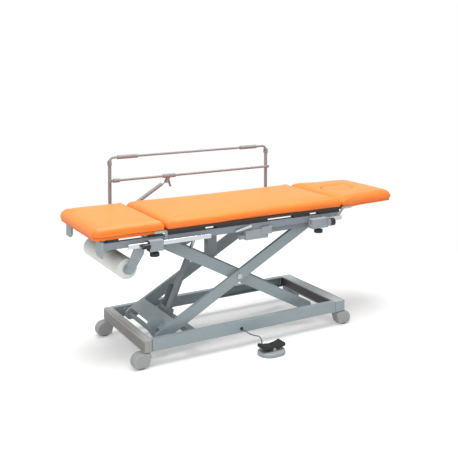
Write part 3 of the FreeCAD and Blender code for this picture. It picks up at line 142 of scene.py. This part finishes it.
def new_material(name):
    material = bpy.data.materials.new(name)
    material.use_nodes = True
    material.node_tree.nodes.clear()
    return material, Shade(material.node_tree)


def coat_surface(shade, colour, roughness, height, depth, **constant):
    """Ends a material: a Principled surface whose bump is height (0 to 1) times depth in metres."""
    bump = shade.node("Bump", {}, {"Height": height, "Distance": depth, "Strength": 1.0})
    inputs = {"Base Color": colour, "Roughness": roughness, "Normal": bump}
    inputs.update({name.replace("_", " "): value for name, value in constant.items()})
    surface = shade.node("BsdfPrincipled", {}, inputs)
    shade.node("OutputMaterial", {}, {"Surface": surface})


def vinyl(name, colour, dark, roughness=0.45):
    """Soft extruded vinyl: faint drawing lines, and a skin that is duller where it has been handled."""
    material, shade = new_material(name)
    handled = shade.noise(30, 3)
    coat_surface(shade, handled.tint(dark, colour), roughness + 0.15 * handled, shade.noise(700), 0.0001)
    return material


cord_route = [
    (-0.154, -0.2359, 0.108),
    (-0.152, -0.2649, 0.105),
    (-0.116, -0.2789, 0.082),
    (-0.078, -0.3109, 0.080),
    (-0.080, -0.3149, 0.030),
]
cord_curve = bpy.data.curves.new("foot_switch_cable", "CURVE")
cord_curve.dimensions = "3D"
cord_curve.bevel_depth = 0.003
cord_curve.bevel_resolution = 6
cord_curve.resolution_u = 24
cord_curve.use_fill_caps = True
cord_line = cord_curve.splines.new("NURBS")
cord_line.points.add(len(cord_route) - 1)
for point, place in zip(cord_line.points, cord_route):
    point.co = (*place, 1)
cord_line.order_u = 3
cord_line.use_endpoint_u = True
cord = bpy.data.objects.new("foot_switch_cable", cord_curve)
bpy.context.scene.collection.objects.link(cord)
cord_curve.materials.append(vinyl("cable jacket", rgb(92, 96, 100), rgb(70, 73, 77)))
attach(cord, "base")
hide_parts("foot_switch_cord")


# Floor and lights. A plain white studio: one large sheet on the floor that turns plain white away from the
# couch, a soft box overhead, a softer one from the camera's left, and a white room for the polished parts.
def studio_floor(size):
    """Flat square sheet of the given side, from its four corners."""
    half = size / 2
    corners = np.array([(-half, -half, 0), (half, -half, 0), (half, half, 0), (-half, half, 0)])
    mesh = bpy.data.meshes.new("floor_sheet")
    mesh.from_pydata(corners.tolist(), [], [(0, 1, 2, 3)])
    return mesh


floor = bpy.data.objects.new("floor_sheet", studio_floor(60))
bpy.context.scene.collection.objects.link(floor)
floor_material, shade = new_material("floor paper")
seen = shade.node("LightPath", output="Is Camera Ray")
mottle = shade.noise(3, 2)
paper = shade.node("BsdfDiffuse", {}, {"Color": mottle.tint(rgb(226, 226, 225), rgb(232, 232, 232))})
glow = shade.node("Emission", {}, {"Color": (1, 1, 1, 1), "Strength": seen * 0.3})
both = shade.node("AddShader", {}, {0: paper, 1: glow})
out = (shade.axis("X") * shade.axis("X") + shade.axis("Y") * shade.axis("Y")) ** 0.5
far_off = shade.node("MapRange", {"interpolation_type": "SMOOTHSTEP"},
                     {"Value": out, "From Min": 1.3, "From Max": 2.6})
sweep = shade.node("Emission", {}, {"Color": (1, 1, 1, 1), "Strength": 1.0})
faded = shade.node("MixShader", {}, {0: far_off * seen, 1: both, 2: sweep})
shade.node("OutputMaterial", {}, {"Surface": faded})
floor.data.materials.append(floor_material)

room = bpy.data.worlds.new("white room")
room.use_nodes = True
room.node_tree.nodes.clear()
shade = Shade(room.node_tree)
direct = shade.node("LightPath", output="Is Camera Ray")
mirrored = shade.node("LightPath", output="Is Glossy Ray")
through = shade.node("LightPath", output="Is Transmission Ray")
shown = shade.math("MINIMUM", direct + mirrored + through, 1.0)
background = shade.node("Background", {}, {"Color": (1, 1, 1, 1), "Strength": 0.5 + 0.5 * shown})
shade.node("OutputWorld", {}, {"Surface": background})
bpy.context.scene.world = room
bpy.context.scene.view_settings.view_transform = "Standard"


def soft_box(name, place, aim, size, power):
    """Square area lamp at place, turned to face aim."""
    lamp = bpy.data.lights.new(name, "AREA")
    lamp.size = size
    lamp.energy = power
    box = bpy.data.objects.new(name, lamp)
    away = np.array(place, float) - np.array(aim, float)
    lean = math.atan2(math.hypot(away[0], away[1]), away[2])
    heading = math.atan2(away[1], away[0]) + math.pi / 2
    box.location = place
    box.rotation_euler = (lean, 0, heading)
    bpy.context.scene.collection.objects.link(box)


soft_box("overhead_box", (-0.3, 0.0, 4.2), (0, 0, 0.5), 3.4, 215)
soft_box("left_box", (-4.0, -3.6, 3.0), (0, 0, 0.5), 3.0, 70)


# Lift, top frame and base frame. Square tube, channel and plate, welded and covered with a baked blue-grey
# powder coat; the coat has a fine orange peel and is a little duller where hands and cloths have passed.
def paint(material, *nodes):
    """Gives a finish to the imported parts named."""
    for name in nodes:
        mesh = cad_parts[name].data
        mesh.materials.clear()
        mesh.materials.append(material)


def powder_coat(name, colour, dark, roughness=0.34, peel_depth=0.00012):
    """Baked powder coat: broad faint clouds in the colour, orange peel about 2 mm wide in the bump."""
    material, shade = new_material(name)
    clouds = shade.noise(5, 3)
    wiped = shade.noise(16, 4, (1, 1, 3))
    peel = shade.noise(480, 2)
    coat_surface(shade, clouds.tint(dark, colour), roughness + 0.16 * wiped, peel, peel_depth,
                 Specular_IOR_Level=0.5)
    return material


blue_grey = powder_coat("blue-grey powder coat", rgb(156, 169, 173), rgb(144, 157, 162))
paint(blue_grey, "frame_brackets", "outer_front_arm", "outer_rear_arm", "inner_front_arm", "inner_rear_arm",
      "outer_arm_yoke", "inner_arm_tube", "base_front_beam", "base_rear_beam", "base_cross_tube",
      "side_rail_sockets")
# The upper beams get a darker copy of the blue-grey coat: painted shade for the shadow under the pads.
shaded_blue_grey = powder_coat("shaded blue-grey powder coat", rgb(138, 146, 154), rgb(126, 134, 142))
paint(shaded_blue_grey, "upper_front_beam", "upper_rear_beam", "upper_cross_tubes")

def beam_with_painted_shade(name, coat, rim, painted_shade, low_z, high_z):
    """Beam with painted shade, darker between two heights on the face towards -X, and a painted highlight, a
    paler top.
    """
    material, shade = new_material(name)
    # Painted shade on the face that looks towards -X and a painted highlight on the top, chosen by the face's
    # direction.
    shaded_face = shade.math("LESS_THAN", shade.facing("X"), -0.6)
    lit_top = shade.math("GREATER_THAN", shade.facing("Z"), 0.6)
    height = shade.axis("Z")
    between = shade.math("GREATER_THAN", height, low_z) * shade.math("LESS_THAN", height, high_z)
    clouds = shade.noise(5, 3)
    plain = clouds.tint(rgb(*(part - 10 for part in coat)), rgb(*coat))
    colour = (shaded_face * between).tint(lit_top.tint(plain, rgb(*rim)), rgb(*painted_shade))
    coat_surface(shade, colour, 0.36 + 0.16 * clouds, shade.noise(480, 2), 0.00012)
    return material


beam_low, beam_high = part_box("base_right_beam")
panel_rim = 0.007
panel_heights = beam_low[2] + panel_rim, beam_high[2] - panel_rim
# Coat, painted highlight (top) and painted shade (-X face) colours of each end beam.
right_coat, right_painted_highlight, right_painted_shade = (156, 169, 173), (196, 203, 206), (84, 80, 80)
left_coat, left_painted_highlight, left_painted_shade = (164, 161, 158), (184, 185, 184), (134, 130, 128)
paint(beam_with_painted_shade("beam with painted shade and highlight", right_coat, right_painted_highlight, right_painted_shade, *panel_heights), "base_right_beam")
paint(beam_with_painted_shade("warm beam with painted shade and highlight", left_coat, left_painted_highlight, left_painted_shade, *panel_heights), "base_left_beam")


# Pins, rollers, hinges and the rods that slide. Turned steel with a bright zinc or chrome plate.
def plated_steel(name, colour, dark, roughness=0.2):
    """Plated steel: turning marks drawn out along the bar, brighter where it is rubbed."""
    material, shade = new_material(name)
    marks = shade.noise(90, 4, (6, 1, 1))
    scratches = shade.noise(900, 2, (4, 1, 1))
    coat_surface(shade, marks.tint(dark, colour), roughness + 0.14 * marks, scratches, 0.00004, Metallic=1.0)
    return material


zinc = plated_steel("bright zinc plate", rgb(205, 208, 210), rgb(176, 180, 184), 0.26)
paint(zinc, "centre_pivot_bolts", "foot_hinge_leaves", "head_hinge_leaves", "lower_rollers", "upper_rollers")
chrome = plated_steel("polished chrome", rgb(232, 236, 240), rgb(214, 218, 222), 0.12)
paint(chrome, "actuator_rod", "accessory_rails", "release_lever")


# Linear drive of the lift. An anodised tube with a moulded gear housing, and a motor under a painted can.
def moulded(name, colour, dark, roughness=0.5, grain=900):
    """Injection-moulded plastic: a fine spark-eroded grain and a faint change of tone over the part."""
    material, shade = new_material(name)
    tone = shade.noise(9, 3)
    coat_surface(shade, tone.tint(dark, colour), roughness + 0.12 * tone, shade.pebbles(grain), 0.00006)
    return material


paint(powder_coat("drive tube coat", rgb(150, 156, 160), rgb(122, 128, 133), 0.3), "actuator_tube")
paint(moulded("motor cover", rgb(96, 101, 106), rgb(84, 88, 93)), "actuator_motor")


# Boards under the pads, and the spacers between boards and frame. Birch ply sealed with a dark stain, and
# black moulded blocks.
def stained_ply(name, colour, dark):
    """Stained ply: grain drawn out along the couch, and edge plies that repeat through the thickness."""
    material, shade = new_material(name)
    grain = shade.noise(14, 5, (0.6, 9, 9))
    plies = shade.math("SINE", shade.axis("Z") * 3800) * 0.5 + 0.5
    coat_surface(shade, (grain * 0.75 + plies * 0.25).tint(dark, colour), 0.55 + 0.2 * grain, grain, 0.0002)
    return material


paint(stained_ply("stained ply", rgb(74, 58, 50), rgb(50, 40, 36)), "centre_board")
black_plastic = moulded("black moulded plastic", rgb(38, 40, 43), rgb(28, 30, 32), 0.42)
paint(black_plastic, "pad_spacers", "left_clamp_knob", "right_clamp_knob")


# Clamps, control box and junction box. Grey castings and mouldings that hang from the near beam.
def capped_casting(name, casting, cap, left_cap, right_cap):
    """Grey casting with black end caps: the part left of left_cap or right of right_cap is cap-coloured."""
    material, shade = new_material(name)
    place = shade.axis("X")
    capped = shade.math("LESS_THAN", place, left_cap) + shade.math("GREATER_THAN", place, right_cap)
    tone = shade.noise(9, 3)
    colour = capped.tint(rgb(*casting), rgb(*cap))
    coat_surface(shade, colour, 0.34 + 0.12 * tone, shade.pebbles(500), 0.00006)
    return material


paint(capped_casting("capped casting", (152, 160, 165), (28, 30, 32), -0.7105, 0.4085), "clamp_blocks")
paint(moulded("light grey moulding", rgb(158, 166, 171), rgb(146, 154, 159), 0.4, 500), "control_box")
paint(moulded("mid grey moulding", rgb(150, 156, 160), rgb(138, 144, 149), 0.45), "junction_box")


# Paper roll and its holder. Two coated arms carry a spindle; the roll is soft white paper, and its wound
# layers show as rings on the ends.
def wound_paper(name, middle_x, middle_z, layer):
    """Roll of paper: the distance from the roll's middle line makes rings on the ends, layer metres apart."""
    material, shade = new_material(name)
    across = shade.axis("X") - middle_x
    up = shade.axis("Z") - middle_z
    distance = (across * across + up * up) ** 0.5
    rings = shade.math("SINE", distance * (2 * math.pi / layer)) * 0.5 + 0.5
    uneven = shade.noise(14, 4)
    colour = (rings * 0.55 + uneven * 0.45).tint(rgb(205, 204, 200), rgb(242, 242, 240))
    coat_surface(shade, colour, 0.82 + 0.1 * uneven, rings * 0.7 + shade.noise(160, 3) * 0.3, 0.0006)
    return material


roll_low, roll_high = (np.array(corner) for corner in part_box("paper_roll"))
roll_middle = (roll_low + roll_high) / 2
paint(wound_paper("wound paper", float(roll_middle[0]), float(roll_middle[2]), 0.0075), "paper_roll")
paint(blue_grey, "roll_holder")


# Side rail. Bent round tube with a taupe powder coat and moulded joints, folding down towards the head end.
taupe = powder_coat("taupe powder coat", rgb(146, 146, 148), rgb(134, 134, 137), 0.5, 0.00002)
paint(taupe, "side_rail_left_post", "side_rail_right_post", "side_rail_top_tube", "side_rail_mid_rail",
      "side_rail_strut_tube", "side_rail_strut_rod")
paint(moulded("taupe moulding", rgb(134, 132, 132), rgb(122, 120, 120), 0.5), "side_rail_trigger")


# Castors. Twin plastic wheels half hidden by a round hood, with a softer grey tread.
hood_plastic = moulded("grey hood plastic", rgb(170, 172, 171), rgb(158, 160, 159), 0.46, 700)
wheel_plastic = moulded("grey wheel plastic", rgb(136, 137, 137), rgb(120, 121, 121), 0.55, 500)
for corner in ("left_front", "left_rear", "right_front", "right_rear"):
    paint(hood_plastic, corner + "_hood")
    paint(wheel_plastic, corner + "_wheels")


# Foot switch. A grey die-cast base on the floor and a black rubber rocker with rounded ends.
paint(powder_coat("foot switch base coat", rgb(158, 166, 166), rgb(146, 154, 155), 0.3), "pedal_base")
paint(moulded("black rubber", rgb(30, 32, 35), rgb(20, 22, 24), 0.5, 420), "pedal_rocker")
paint(black_plastic, "cord_gland")


# Pads. Each section is a foam block on its board, with a soft leatherette cover pulled round the edge, so
# the top is slightly crowned, the edges are broad and round, and the ends press on each other.
def leatherette(name, colour, dark):
    """Coated upholstery cloth: pebble grain about 1.5 mm, softer creases, and a tone that drifts a little."""
    material, shade = new_material(name)
    drift = shade.noise(4, 3)
    grain = shade.pebbles(640)
    crease = shade.noise(60, 4)
    height = grain * 0.8 + crease * 0.6
    tone = (drift * 0.7 + grain * 0.3).tint(dark, colour)
    coat_surface(shade, tone, 0.4 + 0.14 * crease, height, 0.00016, Sheen_Weight=0.3, Sheen_Roughness=0.4,
                 Sheen_Tint=(1.0, 0.86, 0.5, 1.0))
    return material


orange_cover = leatherette("orange leatherette", rgb(251, 130, 38), rgb(245, 118, 30))


def wrapped_board(name, ply, cover):
    """Ply board whose edges the cover is pulled round: cover-coloured where the board's face is upright."""
    material, shade = new_material(name)
    flat = shade.math("GREATER_THAN", shade.math("ABSOLUTE", shade.facing("Z")), 0.6)
    grain = shade.noise(14, 5, (0.6, 9, 9))
    wood = grain.tint(rgb(*ply), rgb(ply[0] - 24, ply[1] - 26, ply[2] - 28))
    coat_surface(shade, flat.tint(rgb(*cover), wood), 0.45 + 0.2 * grain, shade.pebbles(640), 0.00012)
    return material


paint(wrapped_board("wrapped board", (120, 98, 80), (246, 120, 32)), "foot_board", "head_board")


def rounded_plan(corners, radii):
    """Closed plan through the corners, each rounded with an arc of its radius. The arc's points are its two
    tangent points blended by sines of the angle still to turn, and straight runs get a point every 12 mm."""
    arcs = []
    for index, (corner, radius) in enumerate(zip(corners, radii)):
        corner = np.array(corner, float)
        before = np.array(corners[index - 1], float) - corner
        after = np.array(corners[(index + 1) % len(corners)], float) - corner
        before /= np.linalg.norm(before)
        after /= np.linalg.norm(after)
        half = math.acos(float(before @ after)) / 2
        middle = corner + (before + after) / np.linalg.norm(before + after) * radius / math.sin(half)
        start = corner + before * radius / math.tan(half) - middle
        end = corner + after * radius / math.tan(half) - middle
        turn = math.pi - 2 * half
        share = np.linspace(0, 1, 13)[:, None]
        blend = np.sin((1 - share) * turn) * start + np.sin(share * turn) * end
        arcs.append(middle + blend / math.sin(turn))
    runs = []
    for arc, following in zip(arcs, arcs[1:] + arcs[:1]):
        steps = max(2, int(np.linalg.norm(following[0] - arc[-1]) / 0.012))
        share = np.linspace(0, 1, steps, endpoint=False)[1:, None]
        runs += [arc, arc[-1] + (following[0] - arc[-1]) * share]
    return np.concatenate(runs)


def distance_to(plan, points):
    """Distance from each point to the closed plan: the least over its sides, each clipped to its own ends."""
    side = np.roll(plan, -1, axis=0) - plan
    reach = points[:, None, :] - plan[None]
    along = np.clip((reach * side).sum(-1) / (side * side).sum(-1), 0, 1)
    return np.sqrt(((reach - along[..., None] * side) ** 2).sum(-1).min(axis=1))


def fall(distance, radius):
    """How far a quarter-round edge lies below the flat at this distance in from the edge."""
    return radius - np.sqrt(np.maximum(radius ** 2 - np.maximum(radius - distance, 0) ** 2, 0))


crown_reach = 0.22


def pad_mesh(name, plan, hole, low, high, crown, top_round, bottom_round, hole_round=0.007,
             thin_end=(0, 1, 0)):
    """Closed pad. Points run from the plan in to the hole's plan, or to a middle line where there is no hole.
    The top lies below high by the round of its edges and by a crown that falls off squarely from the middle.
    thin_end gives an end's place along X, a length and a drop: the top falls by the drop squarely over it."""
    shares = np.concatenate([np.linspace(0, 1, 9)[:-1] ** 1.6 * 0.12, np.linspace(0.12, 0.94, 22),
                             1 - np.linspace(0.94, 0, 7) ** 1.6 * 0.06 / 0.94 ** 1.6])
    flat = (plan[None] + (hole - plan)[None] * shares[:, None, None]).reshape(-1, 2)
    inside = distance_to(plan, flat)
    end_x, end_run, end_drop = thin_end
    nearness = np.clip(1 - np.abs(flat[:, 0] - end_x) / end_run, 0, 1) ** 2
    crown_fall = crown * (1 - np.minimum(inside / crown_reach, 1)) ** 2
    top = high - crown_fall - fall(inside, top_round) - end_drop * nearness
    bottom = low + fall(inside, bottom_round) * (1 + 1.6 * nearness)
    open_middle = np.ptp(hole[:, 1]) > 0
    if open_middle:
        rim = distance_to(hole, flat)
        top -= fall(rim, hole_round)
    rings, count = len(shares), len(plan)
    points = np.concatenate([np.column_stack([flat, top]), np.column_stack([flat, bottom])])
    ring, step = np.arange(rings - 1)[:, None] * count, np.arange(count)[None]
    after = (step + 1) % count
    inner = ring + count
    upper = np.stack([ring + step, ring + after, inner + after, inner + step], -1).reshape(-1, 4)
    lower = upper[:, ::-1] + rings * count
    outer = np.stack([step + rings * count, after + rings * count, after, step], -1).reshape(-1, 4)
    faces = [upper, lower, outer]
    if open_middle:
        faces.append(outer[:, ::-1] + (rings - 1) * count)
    mesh = bpy.data.meshes.new(name)
    mesh.from_pydata(points.tolist(), [], np.concatenate(faces).tolist())
    return mesh


def middle_line(plan):
    """The line along the pad's middle that each of its points is drawn in to."""
    inset = min(np.ptp(plan[:, 1]), np.ptp(plan[:, 0])) / 2
    ends = sorted([plan[:, 0].min() + inset, plan[:, 0].max() - inset])
    middle = (plan[:, 1].min() + plan[:, 1].max()) / 2
    return np.column_stack([np.clip(plan[:, 0], *ends), np.full(len(plan), middle)])


def shown(pad):
    """The pad's mesh with its modifiers worked out, as a new mesh."""
    bpy.context.view_layer.update()
    return bpy.data.meshes.new_from_object(pad.evaluated_get(bpy.context.evaluated_depsgraph_get()))


def corners_of(mesh):
    """The mesh's points as rows of an array."""
    points = np.empty(len(mesh.vertices) * 3)
    mesh.vertices.foreach_get("co", points)
    return points.reshape(-1, 3)


def upholster(name, mesh, voxel, swell, held, low_limit, high_limit):
    """Pad whose cover swells under pressure where held() doesn't keep it, each point by swell at most, and
    which then stays between the two limits: the board below and the neighbours at the ends."""
    pad = bpy.data.objects.new(name, mesh)
    bpy.context.scene.collection.objects.link(pad)
    even = pad.modifiers.new("even", "REMESH")
    even.mode = "VOXEL"
    even.voxel_size = voxel
    pad.data = shown(pad)
    pad.modifiers.clear()
    start = corners_of(pad.data)
    fixed = pad.vertex_groups.new(name="held")
    fixed.add(np.nonzero(held(start))[0].tolist(), 1.0, "REPLACE")
    cloth = pad.modifiers.new("cover", "CLOTH")
    cloth.settings.quality = 5
    cloth.settings.mass = 0.3
    cloth.settings.tension_stiffness = 20
    cloth.settings.compression_stiffness = 20
    cloth.settings.shear_stiffness = 8
    cloth.settings.bending_stiffness = 2
    cloth.settings.use_pressure = True
    cloth.settings.uniform_pressure_force = 4
    cloth.settings.vertex_group_mass = "held"
    cloth.settings.effector_weights.gravity = 0
    for step in range(1, 21):
        bpy.context.scene.frame_set(step)
    move = corners_of(shown(pad)) - start
    length = np.maximum(np.linalg.norm(move, axis=1, keepdims=True), 1e-9)
    bpy.context.scene.frame_set(1)
    pad.modifiers.clear()
    pad.vertex_groups.clear()
    start = start + move * np.minimum(1, swell / length)
    start = np.clip(start, low_limit, high_limit)
    pad.data.vertices.foreach_set("co", start.ravel())
    finer = pad.modifiers.new("finer", "SUBSURF")
    finer.levels = finer.render_levels = 1
    pad.data = shown(pad)
    pad.modifiers.clear()
    pad.data.materials.clear()
    pad.data.materials.append(orange_cover)
    pad.data.shade_smooth()
    pad.name = pad.data.name = name
    return pad


# Centre pad, 1.15 m long, between the other two. Its long sides pull in a little between the corners.
cover_round = 0.032
underside_round = 0.009
crown_height = 0.008
low, high = (np.array(corner, float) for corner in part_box("centre_cushion"))
axis_y = float(low[1] + high[1]) / 2


def waisted(plan, amount):
    """Plan whose long sides pull in by amount at the middle of its length and, by a square, less towards its
    ends."""
    middle, half = (plan[:, 0].max() + plan[:, 0].min()) / 2, np.ptp(plan[:, 0]) / 2
    pull = amount * (1 - ((plan[:, 0] - middle) / half) ** 2)
    side = np.clip((plan[:, 1] - axis_y) / 0.2, -1, 1)
    return np.column_stack([plan[:, 0], plan[:, 1] - side * pull])


def pad_between(name, node, plan, body, voxel, swell, hole=None, rest=0.003, thin_end=(0, 1, 0)):
    """One pad in the space of its packed block, with its underside kept on the board."""
    low, high = (np.array(corner, float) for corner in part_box(node))
    inner = middle_line(plan) if hole is None else hole
    mesh = pad_mesh(name + "_form", plan, inner, low[2], high[2] - 0.002, crown_height, cover_round,
                    underside_round, thin_end=thin_end)
    ends = (0.0005, -0.003, 0)

    def kept(points):
        near_board = points[:, 2] < low[2] + rest
        if hole is None:
            return near_board
        return near_board | (distance_to(hole, points[:, :2]) < 0.016)

    pad = upholster(name, mesh, voxel, swell, kept, low + ends, high - ends + np.array([0, 0, 0.003]))
    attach(pad, body)
    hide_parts(node)
    return pad


def plan_between(low, high, radii):
    """Plan of a pad that fills its block but for the play at its ends, with the corners' radii."""
    left, right = low[0] + end_play, high[0] - end_play
    return rounded_plan([(left, near), (right, near), (right, far), (left, far)], radii)


end_play = 0.003
side_play = 0.004
seam_corner = 0.012
near, far = low[1] + side_play, high[1] - side_play
centre_plan = plan_between(low, high, [seam_corner] * 4)
pad_between("centre_pad", "centre_cushion", waisted(centre_plan, 0.003), "top_frame", 0.008, 0.005)


# Foot pad. It is 0.4 m long, ends in two round corners at the foot end, where it gets a little thinner, and
# meets the centre pad at a straight seam.
low, high = (np.array(corner, float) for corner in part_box("foot_cushion"))
foot_corner = 0.045
foot_plan = plan_between(low, high, [foot_corner, seam_corner, seam_corner, foot_corner])
foot_pad = pad_between("foot_pad", "foot_cushion", waisted(foot_plan, 0.002), "foot_section", 0.006, 0.004,
                       thin_end=(low[0], 0.12, 0.006))


# Head pad. It narrows from the seam to the end in two straight runs, gets thinner towards the end and has an
# oblong hole for the face.
low, high = (np.array(corner, float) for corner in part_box("head_cushion"))
plug_low, plug_high = (np.array(corner, float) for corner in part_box("face_plug"))
bend_x, bend_half, end_half, end_corner = 0.700, 0.255, 0.233, 0.060
bend_round = 0.12
outline = [(low[0] + end_play, (far - near) / 2, seam_corner),
           (bend_x, bend_half - end_play, bend_round),
           (high[0] - end_play, end_half - end_play, end_corner)]
near_side = [(x, axis_y - half) for x, half, radius in outline]
far_side = [(x, axis_y + half) for x, half, radius in outline[::-1]]
radii = [radius for x, half, radius in outline]
head_plan = rounded_plan(near_side + far_side, radii + radii[::-1])


def oblong(toward, grow):
    """Points of the face hole's outline, two half circles and two straight sides, that lie from its middle
    towards each of the given points; grow moves the outline outwards."""
    middle = (plug_low + plug_high)[:2] / 2
    radius = (plug_high[1] - plug_low[1]) / 2 + grow
    reach = (plug_high[0] - plug_low[0]) / 2 + grow - radius
    way = (toward - middle) / np.linalg.norm(toward - middle, axis=1, keepdims=True)
    flat_side = radius / np.maximum(np.abs(way[:, 1]), 1e-9)
    on_side = np.abs(way[:, 0]) * flat_side <= reach
    across = np.abs(way[:, 0]) * reach
    round_end = across + np.sqrt(np.maximum(across ** 2 - reach ** 2 + radius ** 2, 0))
    return middle + way * np.where(on_side, flat_side, round_end)[:, None]


head_pad = pad_between("head_pad", "head_cushion", head_plan, "head_section", 0.006, 0.004,
                       hole=oblong(head_plan, 0.0015), thin_end=(high[0], 0.12, 0.012))


# Face plug. A small loose pad of the same foam and leatherette that fills the hole and is lifted out by hand;
# a narrow gap runs round it.
turn = np.linspace(0, 2 * math.pi, 120, endpoint=False)
plug_middle = (plug_low + plug_high)[:2] / 2
plug_plan = oblong(plug_middle + np.column_stack([np.cos(turn), np.sin(turn)]), -0.0006)
plug_form = pad_mesh("face_pad_form", plug_plan, middle_line(plug_plan), plug_low[2], plug_high[2] - 0.002,
                     crown=0.003, top_round=0.008, bottom_round=0.004)
plug = upholster("face_pad", plug_form, 0.0045, 0.0015, lambda p: distance_to(plug_plan, p[:, :2]) < 0.012,
                 plug_low, plug_high + np.array([0, 0, 0.003]))
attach(plug, "face_plug")
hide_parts("face_plug")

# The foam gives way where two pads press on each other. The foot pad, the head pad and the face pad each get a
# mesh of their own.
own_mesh(foot_pad)
for pad in (head_pad, plug):
    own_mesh(pad)
